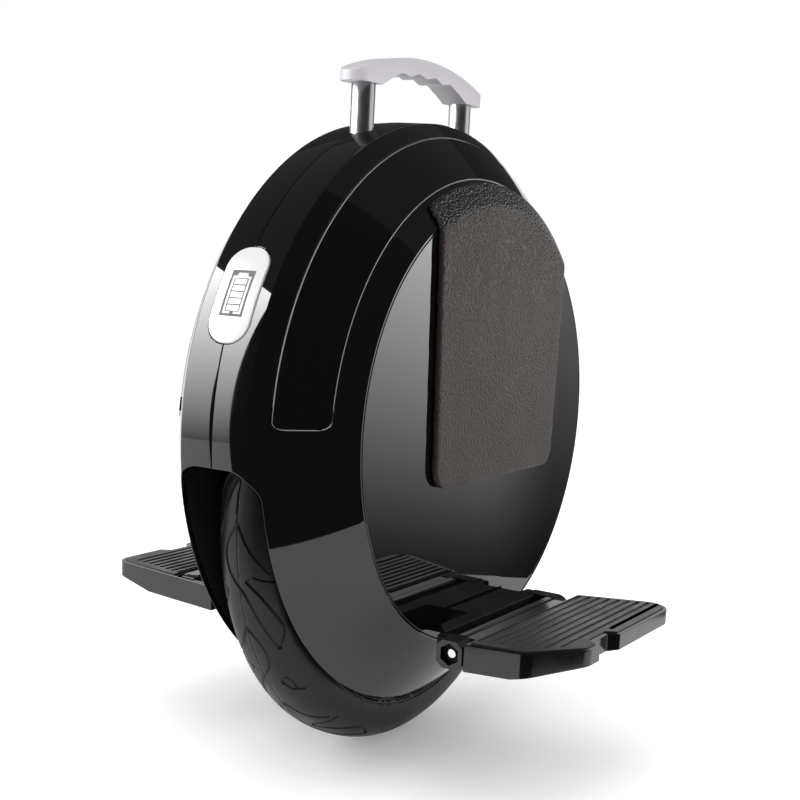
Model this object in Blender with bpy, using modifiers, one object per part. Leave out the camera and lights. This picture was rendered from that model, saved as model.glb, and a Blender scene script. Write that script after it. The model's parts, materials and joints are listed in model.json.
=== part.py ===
"""Electric unicycle with a 14 inch hub motor wheel, a round two-half body, fold-out pedals,
leg pads and a pull-up handle.

Metres, +Z up. The wheel's axle lies along X, the battery light faces -Y (the front) and the
origin is the point where the tyre meets the ground. The rider's left is +X.
"""

import math

import bmesh
import bpy
from mathutils import Matrix, Vector

# Fits
FIT = 0.0003  # gap between two pieces that touch
RUN = 0.0001  # radial clearance of a shaft that turns or slides in its bore
SEAM = 0.0003  # gap between the two body halves

# Wheel
TYRE_RADIUS = 0.178
TYRE_HALF_WIDTH = 0.025
TYRE_TREAD = 0.006
BEAD_SEAT_RADIUS = 0.127
BEAD_HALF_WIDTH = 0.0175
BEAD_TOE = 0.003
TOE_TAPER = 0.002
RIM_HUMP = 0.001  # from the bead's toe to the slope of the rim's bed
RIM_SLOPE = 0.003
FLANGE_HEIGHT = 0.0075
FLANGE_THICKNESS = 0.0024
RIM_BED_DEPTH = 0.0056
DRUM_DEPTH = 0.016  # bead seat to the inside of the rim, where the magnets sit
COVER_INSET = 0.011  # motor cover inside the bead seat
COVER_THICKNESS = 0.0028
COVER_FACE = 0.0285
COVER_LIP = 0.0017
MAGNET_THICKNESS = 0.003
MAGNET_HALF_WIDTH = 0.0145
AIR_GAP = 0.0010
STATOR_HALF_WIDTH = 0.0125
STATOR_TEETH = 18
STATOR_SLOT_DEPTH = 0.020
STATOR_WINDOWS = 5
STATOR_HUB_RADIUS = 0.024
WINDING_HEIGHT = 0.0045
AXLE_RADIUS = 0.0075
AXLE_SHOULDER = 0.0015
AXLE_HALF_LENGTH = 0.0635
BEARING_RADIUS = 0.0175
BEARING_WIDTH = 0.0105
VALVE_RADIUS = 0.003
VALVE_SEAT = 0.003
VALVE_LENGTH = 0.0075
VALVE_SIDES = 12

# Motor covers and bearings
COVER_SLOPE_START = 0.86  # shares of the cover's radius
COVER_FLAT = 0.62
COVER_RECESS = 0.90
COVER_BELLY = 0.0008  # how far the cover bulges on its slope
COVER_BOSS_WALL = 0.006
BEARING_LIP = 0.005  # how far the cover laps over the bearing's face
WINDING_FOOT = 0.002  # winding inside the ring of teeth
WINDING_HEAD = 0.003
WINDING_TAPER = 0.002
STATOR_SPOKE = 0.004  # iron left on each side of a window
STATOR_WINDOW_SIDES = 10

# Body
BODY_RISE = 0.0548  # body centre above the axle
CROWN_OVER_TYRE = 0.0262  # body radius beyond the tyre's
CROWN_HALF_WIDTH = 0.0248
CROWN_DROP = 0.0009
SHOULDER_PULL_X = 0.0485
SHOULDER_PULL_DROP = 0.0221  # radius below the crown's
FACE_X = 0.0705
FACE_DROP = 0.0532  # radius below the crown's
WALL = 0.003
PLATE_THICKNESS = 0.003
PLATE_CHAMFER = 0.0005
RIM_LAND = 0.0012  # flat rim of the shell round the side plate
SLOT_HALF_WIDTH = 0.0313
ARCH_RISE = 0.037  # top of the wheel opening above the axle
ARCH_CORNER = 0.020
LINER_GAP = 0.0125  # tyre to the roof of the arch liner
LINER_WALL = 0.0023
LINER_HOLE_RADIUS = 0.045

# Arch-shaped strip panels
STRIP_START = 0.22  # along the shoulder curve, 0 at the crown and 1 at the side plate
STRIP_END = 0.75
STRIP_THICKNESS = 0.0017
STRIP_PROUD = 0.0003
STRIP_FOOT = 0.0082  # its lower ends above the body centre
STRIP_CORNER = 0.006

# Leg pads
PAD_THICKNESS = 0.005
PAD_LAP = 0.20  # share of the shoulder curve that the pad's top laps over
PAD_LIP = 0.003  # thickness at the top edge
PAD_FLAT_INSET = 0.003  # flat face inside the side plate's rim
PAD_BEVEL_RISE = 0.003
PAD_BEVEL_DROP = 0.0008
PAD_BOTTOM = 0.0378  # below the body centre
PAD_TOP = 0.1662  # above the body centre, where its half length is taken
PAD_BOTTOM_HALF = 0.0825
PAD_TOP_HALF = 0.0905
PAD_CORNER = 0.013
PAD_SET_BACK = 0.0135

# Handle
POST_RADIUS = 0.008
GRIP_RISE = 0.0430  # pulled-up grip above the crown
GRIP_HALF_LENGTH = 0.082
GRIP_HALF_WIDTH = 0.010
GRIP_ARC_RADIUS = 0.214
GRIP_DEPTH = 0.0125
GRIP_BLOCK_DEPTH = 0.0135
GRIP_BLOCK_LENGTH = 0.027
POST_INSET = 0.019  # middle of the post from the end of the grip
FINGER_PITCH = 0.021
FINGER_BUMP = 0.0022
FINGER_COUNT = 4
GRIP_END_SHARE = 0.9  # roundness of its ends, as a share of its half width
GRIP_ROUNDING = 0.0022
POST_SEAT = 0.006
POST_LAP = 0.001  # how far the post runs into its collar
POST_HOLE_GAP = 0.0009
POST_HOLE_DEPTH = 0.040  # from the crown's inner skin down to where the slope ends
COLLAR_RADIUS = 0.010
COLLAR_HEIGHT = 0.005
BUSH_HEIGHT = 0.0175
TUBE_SLACK = 0.0005
TUBE_WALL = 0.002

# Pedals and hangers
HINGE_X = 0.1105
HINGE_DROP = 0.077  # hinge below the axle
BARREL_RADIUS = 0.0095
PEDAL_OUTER_X = 0.186
PEDAL_FRONT = 0.102
PEDAL_CHAMFER_X = 0.1600
PEDAL_CHAMFER_FRONT = 0.094
PEDAL_CHAMFER_BACK = 0.060
PEDAL_REAR_INNER = 0.060
PEDAL_REAR_OUTER = 0.085
PEDAL_FRONT_CORNER = 0.012
PEDAL_REAR_CORNER = 0.014
PEDAL_THICKNESS = 0.0175
PEDAL_EDGE_THICKNESS = 0.0105
PEDAL_TAPER_START = 0.150
PEDAL_SINK = 0.001  # deck below the top of the hinge
NOTCH_SLOPE = 0.7  # slope length along the notch, as a share of its depth
NOTCH_START = -0.044
NOTCH_END = -0.013
NOTCH_DEPTH = 0.007
POCKET_DEPTH = 0.009
POCKET_RIB = 0.003
POCKET_EDGE = 0.006  # rim left round the pockets under the deck
POCKET_FRONT = 0.084
POCKET_REAR = 0.056
POCKET_ROWS = 4
MAT_MARGIN = 0.0025
MAT_THICKNESS = 0.002
RIB_PITCH = 0.0062
RIB_GROOVE = 0.0024
RIB_DEPTH = 0.0012
RIB_MARGIN = 0.003
RIB_FRONT_MARGIN = 0.0075
RIB_REAR_MARGIN = 0.0045
FRONT_LUG = 0.0138
REAR_LUG = 0.013
REAR_LUG_END = 0.050
PIN_RADIUS = 0.0032
HEX_FLATS = 0.0124
HEX_DEPTH = 0.004
HANGER_X = 0.050
HANGER_THICKNESS = 0.008
HANGER_HALF_WIDTH = 0.038
HANGER_BOSS_RADIUS = 0.024
HANGER_WAIST = math.radians(20.0)  # how far the boss's arc runs below its middle
GATE_DEPTH = 0.004  # gate beyond the inside of the side wall
GATE_BELOW = 0.020  # how far the side plate is open below the gate
HINGE_BAR_X = 0.086
HINGE_BAR_THICKNESS = 0.012
STEP = 0.0005  # step where one part of a casting meets another
STOP_LIP_DROP = 0.0035
STOP_LIP_REACH = 0.004
STOP_LIP_END = 0.004
CLAMP_RADIUS = 0.053
CLAMP_FLANGE = 0.005
CLAMP_BOSS_RADIUS = 0.020
NUT_THICKNESS = 0.005
NUT_FLATS = 0.022

# Lights, button and charging socket
LIGHT_TURN = math.radians(65.0)  # from the top of the body towards the front
LIGHT_LENGTH = 0.064
LIGHT_WIDTH = 0.032
LIGHT_CORNER = 0.0145
LIGHT_PROUD = 0.0004
LIGHT_SKIN_STEPS = 90
BOARD_INSET = 0.004  # light board inside the lens's outline
BOARD_THICKNESS = 0.0016
BUTTON_TURN = math.radians(-55.0)
BUTTON_RADIUS = 0.0078
BUTTON_TRAVEL = 0.0015
BEZEL_WALL = 0.0023
BEZEL_PROUD = 0.0012
BEZEL_FLOOR = 0.004
BEZEL_DEPTH = 0.002  # inside of the bezel's floor below the shell's inner skin
SOCKET_TURN = math.radians(-75.0)
SOCKET_RADIUS = 0.0055
SOCKET_WALL = 0.0022
SOCKET_DEPTH = 0.011
SOCKET_FLOOR = 0.002
SOCKET_PROUD = 0.0002
CAP_RADIUS = 0.0090
CAP_THICKNESS = 0.0022
CAP_HINGE_OFFSET = 0.0112
CAP_PLUG_RADIUS = 0.0040
CAP_PLUG_DEPTH = 0.0030
CAP_TAB_HALF = 0.004
CAP_TAB_END = 0.001

# Electronics
BATTERY_CLEARANCE = 0.007  # above the axle clamp's rim
BATTERY_HEIGHT = 0.092
BATTERY_HALF_LENGTH = 0.074
BATTERY_CORNER = 0.009
HEATSINK_HALF_WIDTH = 0.027
HEATSINK_HALF_LENGTH = 0.044
HEATSINK_BASE = 0.004
HEATSINK_HEIGHT = 0.012
FIN_COUNT = 5
FIN_GAP = 0.68  # share of the fin pitch
CAPACITOR_RADIUS = 0.006
CAPACITOR_HEIGHT = 0.018
CAPACITOR_PITCH = 0.015
CAPACITOR_ROW = 0.030
CAPACITOR_SIDES = 12

# Fineness of the round pieces
SHELL_POINTS = 5
INNER_POINTS = 4
SHELL_STEPS = 52
STRIP_POINTS = 4
STRIP_STEPS = 26
WHEEL_STEPS = 40
COVER_STEPS = 30
BORE_SIDES = 24
POST_SIDES = 20
PIN_SIDES = 16
CLEAR = 0.01  # how far a cutting tool runs past the piece

AXLE_Z = TYRE_RADIUS
BODY_Z = AXLE_Z + BODY_RISE
HINGE_Z = AXLE_Z - HINGE_DROP
ARCH_Z = AXLE_Z + ARCH_RISE
CROWN_RADIUS = TYRE_RADIUS + CROWN_OVER_TYRE
CROWN_INNER = CROWN_RADIUS - WALL
POST_REACH = GRIP_HALF_LENGTH - POST_INSET
DRUM_RADIUS = BEAD_SEAT_RADIUS - DRUM_DEPTH
COVER_RADIUS = BEAD_SEAT_RADIUS - COVER_INSET
SHOULDER_PULL_RADIUS = CROWN_RADIUS - SHOULDER_PULL_DROP
FACE_RADIUS = CROWN_RADIUS - FACE_DROP
SEAT_X = FACE_X - PLATE_THICKNESS
INNER_X = SEAT_X - WALL
LINER_HALF = SLOT_HALF_WIDTH - FIT
LINER_OUTER = LINER_HALF + LINER_WALL
LINER_RADIUS = TYRE_RADIUS + LINER_GAP
BATTERY_LOW = AXLE_Z + CLAMP_RADIUS + BATTERY_CLEARANCE
BATTERY_HIGH = BATTERY_LOW + BATTERY_HEIGHT
LUG_TOP = HINGE_Z + BARREL_RADIUS
PEDAL_TOP = LUG_TOP - PEDAL_SINK
PEDAL_BOTTOM = PEDAL_TOP - PEDAL_THICKNESS
PEDAL_INNER_X = HINGE_X + BARREL_RADIUS + 2 * FIT
FRONT_LUG_BACK = -PEDAL_FRONT + FRONT_LUG
REAR_LUG_FRONT = REAR_LUG_END - REAR_LUG


def purge():
    for obj in list(bpy.data.objects):
        bpy.data.objects.remove(obj, do_unlink=True)


purge()
PARTS = bpy.data.collections.new("electric_unicycle")
CUTTERS = bpy.data.collections.new("cutters")
bpy.context.scene.collection.children.link(PARTS)
bpy.context.scene.collection.children.link(CUTTERS)


def material(name, colour, roughness, metallic=0.0):
    mat = bpy.data.materials.new(name)
    mat.use_nodes = True
    shader = mat.node_tree.nodes["Principled BSDF"]
    shader.inputs["Base Color"].default_value = (*colour, 1.0)
    shader.inputs["Roughness"].default_value = roughness
    shader.inputs["Metallic"].default_value = metallic
    mat.diffuse_color = (*colour, 1.0)
    return mat


GLOSS_BLACK = material("gloss_black_shell", (0.006, 0.006, 0.007), 0.06)
GLOSS_STRIP = material("gloss_black_strip", (0.004, 0.004, 0.005), 0.05)
MIRROR_BLACK = material("mirror_black_plate", (0.010, 0.010, 0.012), 0.03)
PAD_LEATHER = material("black_leathered_pad", (0.015, 0.015, 0.015), 0.55)
SATIN_SILVER = material("satin_silver_grip", (0.62, 0.61, 0.63), 0.35)
BRUSHED_STEEL = material("brushed_steel", (0.55, 0.55, 0.56), 0.30, 1.0)
BRIGHT_STEEL = material("bright_steel", (0.75, 0.75, 0.76), 0.15, 1.0)
ALLOY = material("cast_alloy", (0.42, 0.43, 0.44), 0.45, 1.0)
BLACK_ALLOY = material("black_cast_alloy", (0.012, 0.012, 0.013), 0.25, 0.3)
RUBBER = material("tyre_rubber", (0.022, 0.022, 0.023), 0.7)
MAT_RUBBER = material("pedal_mat_rubber", (0.025, 0.024, 0.024), 0.4)
MATT_BLACK = material("matt_black_plastic", (0.012, 0.012, 0.012), 0.5)
WHITE_LENS = material("white_lens", (0.80, 0.81, 0.80), 0.2)
BOARD_GREEN = material("circuit_board", (0.02, 0.11, 0.04), 0.5)
BATTERY_BLUE = material("battery_wrap", (0.02, 0.05, 0.22), 0.45)
COPPER = material("copper_windings", (0.55, 0.22, 0.09), 0.4, 0.8)
DARK_IRON = material("magnet_iron", (0.08, 0.08, 0.085), 0.5, 0.9)


def finish(obj, mat, smooth_angle=35.0):
    """Gives the object its material and shades its round faces smooth."""
    obj.data.materials.clear()
    obj.data.materials.append(mat)
    obj.data.shade_smooth()
    obj.data.set_sharp_from_angle(angle=math.radians(smooth_angle))
    return obj


def object_from(name, bm, keep=True):
    bmesh.ops.remove_doubles(bm, verts=bm.verts, dist=1e-6)
    bmesh.ops.dissolve_degenerate(bm, edges=bm.edges, dist=1e-6)
    bmesh.ops.recalc_face_normals(bm, faces=bm.faces)
    mesh = bpy.data.meshes.new(name)
    bm.to_mesh(mesh)
    bm.free()
    obj = bpy.data.objects.new(name, mesh)
    (PARTS if keep else CUTTERS).objects.link(obj)
    if not keep:
        obj.hide_render = True
        obj.display_type = "WIRE"
    return obj


def bake(obj, keep=True, name=None):
    """Replaces an object or a curve by the plain closed mesh that it shows."""
    bpy.context.view_layer.update()
    graph = bpy.context.evaluated_depsgraph_get()
    mesh = bpy.data.meshes.new_from_object(obj.evaluated_get(graph))
    mesh.transform(obj.matrix_world)
    bm = bmesh.new()
    bm.from_mesh(mesh)
    bpy.data.meshes.remove(mesh)
    name = name or obj.name
    bpy.data.objects.remove(obj, do_unlink=True)
    return object_from(name, bm, keep)


def turned(name, profile, steps=64, centre=(0.0, 0.0), start=0.0, sweep=2 * math.pi, keep=True):
    """Turns a profile of (x, radius) points about the X direction through centre (y, z).

    Turning starts at the top and goes towards the front. An edge on the axis is left out.
    """
    bm = bmesh.new()
    verts = [bm.verts.new((r, 0.0, x)) for x, r in profile]
    for a, b in zip(verts, verts[1:] + verts[:1]):
        if a.co.x > 0.0 or b.co.x > 0.0:
            bm.edges.new((a, b))
    mesh = bpy.data.meshes.new(name)
    bm.to_mesh(mesh)
    bm.free()
    obj = bpy.data.objects.new(name, mesh)
    CUTTERS.objects.link(obj)
    screw = obj.modifiers.new("turn", "SCREW")
    screw.angle = sweep
    screw.steps = screw.render_steps = steps
    screw.use_merge_vertices = True
    screw.merge_threshold = 1e-6
    turn = Matrix(((0, 0, 1, 0), (0, -1, 0, centre[0]), (1, 0, 0, centre[1]), (0, 0, 0, 1)))
    obj.matrix_world = turn @ Matrix.Rotation(start, 4, "Z")
    bpy.context.view_layer.update()
    graph = bpy.context.evaluated_depsgraph_get()
    mesh = bpy.data.meshes.new_from_object(obj.evaluated_get(graph))
    mesh.transform(obj.matrix_world)
    bpy.data.objects.remove(obj, do_unlink=True)
    bm = bmesh.new()
    bm.from_mesh(mesh)
    bpy.data.meshes.remove(mesh)
    bmesh.ops.remove_doubles(bm, verts=bm.verts, dist=1e-6)
    rim = [edge for edge in bm.edges if edge.is_boundary]
    if rim:
        bmesh.ops.holes_fill(bm, edges=rim, sides=0)
    return object_from(name, bm, keep)


def prism(name, points, low, high, axis="Z", keep=True):
    """A flat outline given a thickness from low to high along the axis.

    The outline's points are (x, y) for axis Z, (y, z) for axis X and (x, z) for axis Y.
    """
    curve = bpy.data.curves.new(name, "CURVE")
    curve.dimensions = "2D"
    curve.fill_mode = "BOTH"
    curve.extrude = (high - low) / 2
    spline = curve.splines.new("POLY")
    spline.points.add(len(points) - 1)
    for point, (u, v) in zip(spline.points, points):
        point.co = (u, v, 0.0, 1.0)
    spline.use_cyclic_u = True
    obj = bpy.data.objects.new(name, curve)
    CUTTERS.objects.link(obj)
    middle = (low + high) / 2
    frames = {
        "Z": Matrix(((1, 0, 0, 0), (0, 1, 0, 0), (0, 0, 1, middle), (0, 0, 0, 1))),
        "X": Matrix(((0, 0, 1, middle), (1, 0, 0, 0), (0, 1, 0, 0), (0, 0, 0, 1))),
        "Y": Matrix(((1, 0, 0, 0), (0, 0, -1, middle), (0, 1, 0, 0), (0, 0, 0, 1))),
    }
    obj.matrix_world = frames[axis]
    return bake(obj, keep)


def box(name, low, high, keep=True):
    bm = bmesh.new()
    bmesh.ops.create_cube(bm, size=1.0)
    size = Vector(high) - Vector(low)
    bmesh.ops.scale(bm, vec=size, verts=bm.verts)
    bmesh.ops.translate(bm, vec=(Vector(high) + Vector(low)) / 2, verts=bm.verts)
    return object_from(name, bm, keep)


def cylinder(name, radius, start, end, sides=24, keep=True, end_radius=None):
    """A round bar from start to end, or a cone where end_radius is given."""
    start = Vector(start)
    end = Vector(end)
    bm = bmesh.new()
    bmesh.ops.create_cone(
        bm,
        cap_ends=True,
        segments=sides,
        radius1=radius,
        radius2=radius if end_radius is None else end_radius,
        depth=(end - start).length,
    )
    direction = (end - start).normalized()
    turn = direction.to_track_quat("Z", "Y").to_matrix().to_4x4()
    bm.transform(Matrix.Translation((start + end) / 2) @ turn)
    return object_from(name, bm, keep)


def combine(target, other, operation="DIFFERENCE"):
    """One Boolean step, after which the second object is gone."""
    cut = target.modifiers.new(operation.lower(), "BOOLEAN")
    cut.operation = operation
    cut.solver = "EXACT"
    cut.object = other
    kept = target.name in PARTS.objects
    name = target.name
    result = bake(target, kept, name)
    bpy.data.objects.remove(other, do_unlink=True)
    result.name = name
    return result


def mirrored(source, name):
    """The same piece for the rider's right, as an object of its own."""
    bm = bmesh.new()
    bm.from_mesh(source.data)
    bm.transform(source.matrix_world)
    bmesh.ops.scale(bm, vec=(-1.0, 1.0, 1.0), verts=bm.verts)
    other = object_from(name, bm)
    return finish(other, source.data.materials[0])


def set_origin(obj, point):
    """Moves the object's origin to a point and leaves its shape in place."""
    obj.data.transform(Matrix.Translation(-Vector(point)))
    obj.location = point


def fillet(points, radii, steps=4):
    """Rounds the corners of an outline; a radius of 0 leaves a corner as it is."""
    out = []
    count = len(points)
    for i, (point, radius) in enumerate(zip(points, radii)):
        corner = Vector(point)
        before = Vector(points[i - 1]) - corner
        after = Vector(points[(i + 1) % count]) - corner
        if radius <= 0.0:
            out.append(tuple(corner))
            continue
        half = before.angle(after) / 2
        reach = min(radius / math.tan(half), 0.48 * before.length, 0.48 * after.length)
        real_radius = reach * math.tan(half)
        centre = corner + (before.normalized() + after.normalized()).normalized() * (
            real_radius / math.sin(half)
        )
        first = corner + before.normalized() * reach - centre
        last = corner + after.normalized() * reach - centre
        turn = first.angle_signed(last)
        for k in range(steps + 1):
            angle = -turn * k / steps
            x = first.x * math.cos(angle) - first.y * math.sin(angle)
            y = first.x * math.sin(angle) + first.y * math.cos(angle)
            out.append((centre.x + x, centre.y + y))
    return out


def shoulder(t, offset=0.0):
    """A point (x, radius) on the curve from the crown to the side plate, moved out by offset."""
    start = Vector((CROWN_HALF_WIDTH, CROWN_RADIUS - CROWN_DROP))
    pull = Vector((SHOULDER_PULL_X, SHOULDER_PULL_RADIUS))
    end = Vector((FACE_X, FACE_RADIUS))
    point = start * (1 - t) ** 2 + pull * 2 * t * (1 - t) + end * t**2
    along = ((pull - start) * (1 - t) + (end - pull) * t).normalized()
    outward = Vector((-along.y, along.x))
    return tuple(point + outward * offset)


SHOULDER_LENGTH = math.hypot(FACE_X - CROWN_HALF_WIDTH, CROWN_RADIUS - CROWN_DROP - FACE_RADIUS)


def inner_profile(shrink=0.0, edge=SEAM / 2):
    """The inside of a body half, from the seam to the axis, moved in by shrink."""
    depth = WALL + shrink
    wall_x = INNER_X - shrink
    curve = [shoulder(k / INNER_POINTS, -depth) for k in range(INNER_POINTS + 1)]
    beyond = next(k for k, point in enumerate(curve) if point[0] > wall_x)
    (ax, ar), (bx, br) = curve[beyond - 1], curve[beyond]
    corner = (wall_x, ar + (br - ar) * (wall_x - ax) / (bx - ax))
    return [(edge, CROWN_RADIUS - depth)] + curve[:beyond] + [corner, (wall_x, 0.0)]


def around(turn, radius):
    """The point (0, y, z) at a turn from the top of the body towards the front."""
    return Vector((0.0, -radius * math.sin(turn), BODY_Z + radius * math.cos(turn)))


BODY_CENTRE = (0.0, BODY_Z)
WHEEL_CENTRE = (0.0, AXLE_Z)
BUTTON_BORE = BUTTON_RADIUS + RUN
BEZEL_RADIUS = BUTTON_RADIUS + 4 * RUN + BEZEL_WALL


# Body halves

def body_half():
    outer = [(SEAM / 2, CROWN_RADIUS)]
    outer += [shoulder(k / SHELL_POINTS) for k in range(SHELL_POINTS + 1)]
    land = FACE_RADIUS - RIM_LAND
    outer += [(FACE_X, land), (SEAT_X, land), (SEAT_X, 0.0)]
    profile = outer + inner_profile()[::-1]
    half = turned("left_shell", profile, steps=SHELL_STEPS, centre=BODY_CENTRE)
    slot = fillet(
        [
            (SLOT_HALF_WIDTH, -CLEAR),
            (SLOT_HALF_WIDTH, ARCH_Z),
            (-SLOT_HALF_WIDTH, ARCH_Z),
            (-SLOT_HALF_WIDTH, -CLEAR),
        ],
        [0.0, ARCH_CORNER, ARCH_CORNER, 0.0],
        steps=6,
    )
    reach = CROWN_RADIUS + CLEAR
    half = combine(half, prism("slot", slot, -reach, reach, "Y", keep=False))
    half = combine(half, strip_band("strip_pocket", FIT, WALL, FIT, keep=False))
    half = combine(half, light_prism("light_hole", 0.0, -4 * WALL, CLEAR, keep=False))
    for side in (-1, 1):
        y = side * POST_REACH
        low = (0.0, y, BODY_Z + CROWN_INNER - POST_HOLE_DEPTH)
        high = (0.0, y, BODY_Z + CROWN_RADIUS + CLEAR)
        bore = cylinder("post_hole", POST_RADIUS + POST_HOLE_GAP, low, high, keep=False)
        half = combine(half, bore)
    for turn, radius in ((BUTTON_TURN, BEZEL_RADIUS), (SOCKET_TURN, SOCKET_RADIUS + SOCKET_WALL)):
        low = around(turn, CROWN_INNER - WALL)
        high = around(turn, CROWN_RADIUS + WALL)
        half = combine(half, cylinder("port", radius + FIT, low, high, keep=False))
    half = combine(half, hanger_gate("hanger_gate"))
    return finish(half, GLOSS_BLACK)


def hanger_gate(name, open_below=0.0):
    """The way out of the side wall for the hanger's foot."""
    low_z = HINGE_Z - BARREL_RADIUS - 2 * FIT - open_below
    low = (INNER_X - GATE_DEPTH, -HANGER_HALF_WIDTH - 2 * FIT, low_z)
    high = (FACE_X + CLEAR, HANGER_HALF_WIDTH + 2 * FIT, LUG_TOP + 2 * FIT)
    return box(name, low, high, keep=False)


def strip_band(name, spread, lift, under, keep=True):
    """The arch-shaped band on the shoulder, grown by spread for the pocket that holds it."""
    grow = spread / SHOULDER_LENGTH
    first = STRIP_START - grow
    last = STRIP_END + grow
    ts = [first + (last - first) * k / STRIP_POINTS for k in range(STRIP_POINTS + 1)]
    depth = STRIP_THICKNESS - STRIP_PROUD + under
    top = [shoulder(t, lift) for t in ts]
    bottom = [shoulder(t, -depth) for t in ts]
    middle = (shoulder(STRIP_START)[1] + shoulder(STRIP_END)[1]) / 2
    end_turn = math.acos((STRIP_FOOT - spread) / middle)
    band = turned(
        name,
        top + bottom[::-1],
        steps=STRIP_STEPS,
        centre=BODY_CENTRE,
        start=-end_turn,
        sweep=2 * end_turn,
        keep=keep,
    )
    bm = bmesh.new()
    bm.from_mesh(band.data)
    corners = []
    for edge in bm.edges:
        a, b = (v.co - Vector((0.0, 0.0, BODY_Z)) for v in edge.verts)
        angles = [abs(abs(math.atan2(p.y, p.z)) - end_turn) for p in (a, b)]
        radii = [math.hypot(p.y, p.z) for p in (a, b)]
        across = abs(a.x - b.x) + abs(radii[0] - radii[1]) > (lift + depth) * 0.8
        at_edge = any(all(near_profile(p, t) for p in (a, b)) for t in (first, last))
        if max(angles) < 1e-4 and across and at_edge:
            corners.append(edge)
    bmesh.ops.bevel(
        bm,
        geom=corners,
        offset=STRIP_CORNER + spread,
        offset_type="OFFSET",
        segments=3,
        profile=0.5,
        affect="EDGES",
    )
    mesh_name = band.name
    bpy.data.objects.remove(band, do_unlink=True)
    return object_from(mesh_name, bm, keep)


def near_profile(p, t):
    """Whether a point lies on the line across the skin at t."""
    x, radius = shoulder(t)
    ox, oradius = shoulder(t, 1.0)
    along = Vector((ox - x, oradius - radius))
    off = Vector((p.x - x, math.hypot(p.y, p.z) - radius))
    return abs(along.x * off.y - along.y * off.x) < 1e-5


def light_prism(name, shrink, low, high, keep=True):
    """A bar with the battery light's outline, standing across the crown."""
    a = LIGHT_WIDTH / 2 - shrink
    b = LIGHT_LENGTH / 2 - shrink
    corner = LIGHT_CORNER - shrink
    outline = fillet([(a, b), (-a, b), (-a, -b), (a, -b)], [corner] * 4, steps=5)
    bar = prism(name, outline, CROWN_RADIUS + low, CROWN_RADIUS + high, "Z", keep)
    turn = Matrix.Translation((0.0, 0.0, BODY_Z)) @ Matrix.Rotation(LIGHT_TURN, 4, "X")
    bar.data.transform(turn)
    return bar


left_shell = body_half()
right_shell = mirrored(left_shell, "right_shell")

left_strip = finish(strip_band("left_strip_panel", 0.0, STRIP_PROUD, 0.0), GLOSS_STRIP)
right_strip = mirrored(left_strip, "right_strip_panel")

# Wheel arch liner, side plates and pads

def inside(name, shrink):
    """The hollow of the whole body, moved in by shrink."""
    half = inner_profile(shrink, 0.0)[1:]
    profile = [(-x, r) for x, r in half[::-1]] + half
    return turned(name, profile, steps=SHELL_STEPS, centre=BODY_CENTRE, keep=False)


def rectangle(x_low, x_high, inner, outer):
    """The profile of a plain ring."""
    return [(x_low, inner), (x_low, outer), (x_high, outer), (x_high, inner)]


roof = LINER_RADIUS + LINER_WALL


def arch_roof():
    """The roof over the tyre, with a ledge at each end that meets the skin above the opening."""
    profile = rectangle(-LINER_OUTER, LINER_OUTER, LINER_RADIUS, roof)
    piece = turned("wheel_arch_roof", profile, steps=WHEEL_STEPS, centre=WHEEL_CENTRE)
    end = ARCH_Z + FIT
    reach = CROWN_RADIUS + CLEAR
    below = box("below_arch", (-reach, -reach, -CLEAR), (reach, reach, end), keep=False)
    piece = combine(piece, below)
    half = LINER_OUTER - STEP
    near = math.sqrt(LINER_RADIUS**2 - ARCH_RISE**2) + LINER_WALL / 2
    low = end + STEP
    for y_low, y_high in ((-reach, -near), (near, reach)):
        corners = ((-half, y_low, low), (half, y_high, low + LINER_WALL))
        piece = combine(piece, box("ledge", *corners, keep=False), "UNION")
    return finish(combine(piece, inside("body_hollow", FIT), "INTERSECT"), MATT_BLACK)


def arch_wall():
    """A side of the wheel well, which reaches out to the skin below the top of the opening."""
    radius = LINER_RADIUS - FIT
    ring = []
    for k in range(-WHEEL_STEPS // 4, WHEEL_STEPS // 4 + 1):
        angle = 2 * math.pi * k / WHEEL_STEPS
        ring.append((radius * math.sin(angle), AXLE_Z + radius * math.cos(angle)))
    arc = [point for point in ring if point[1] > ARCH_Z]
    (ay, az), (by, bz) = arc[-1], ring[ring.index(arc[-1]) + 1]
    end = ay + (by - ay) * (az - ARCH_Z) / (az - bz)
    reach = CROWN_RADIUS
    outline = [(-end, ARCH_Z)] + arc + [(end, ARCH_Z), (reach, ARCH_Z)]
    outline += [(reach, -CLEAR), (-reach, -CLEAR), (-reach, ARCH_Z)]
    piece = prism("left_arch_wall", outline, LINER_HALF, LINER_OUTER, "X")
    hole = cylinder(
        "liner_hole",
        LINER_HOLE_RADIUS,
        (LINER_HALF - CLEAR, 0.0, AXLE_Z),
        (LINER_OUTER + CLEAR, 0.0, AXLE_Z),
        WHEEL_STEPS,
        keep=False,
    )
    piece = combine(piece, hole)
    return finish(combine(piece, inside("body_hollow", FIT), "INTERSECT"), MATT_BLACK)


arch_roof()
left_wall = arch_wall()
right_wall = mirrored(left_wall, "right_arch_wall")

plate_radius = FACE_RADIUS - RIM_LAND - FIT
plate_profile = [
    (SEAT_X + FIT, 0.0),
    (SEAT_X + FIT, plate_radius),
    (FACE_X - PLATE_CHAMFER, plate_radius),
    (FACE_X, plate_radius - PLATE_CHAMFER),
    (FACE_X, 0.0),
]
left_plate = turned("left_side_plate", plate_profile, steps=SHELL_STEPS, centre=BODY_CENTRE)
left_plate = combine(left_plate, hanger_gate("plate_gate", open_below=GATE_BELOW))
finish(left_plate, MIRROR_BLACK)
right_plate = mirrored(left_plate, "right_side_plate")


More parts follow.
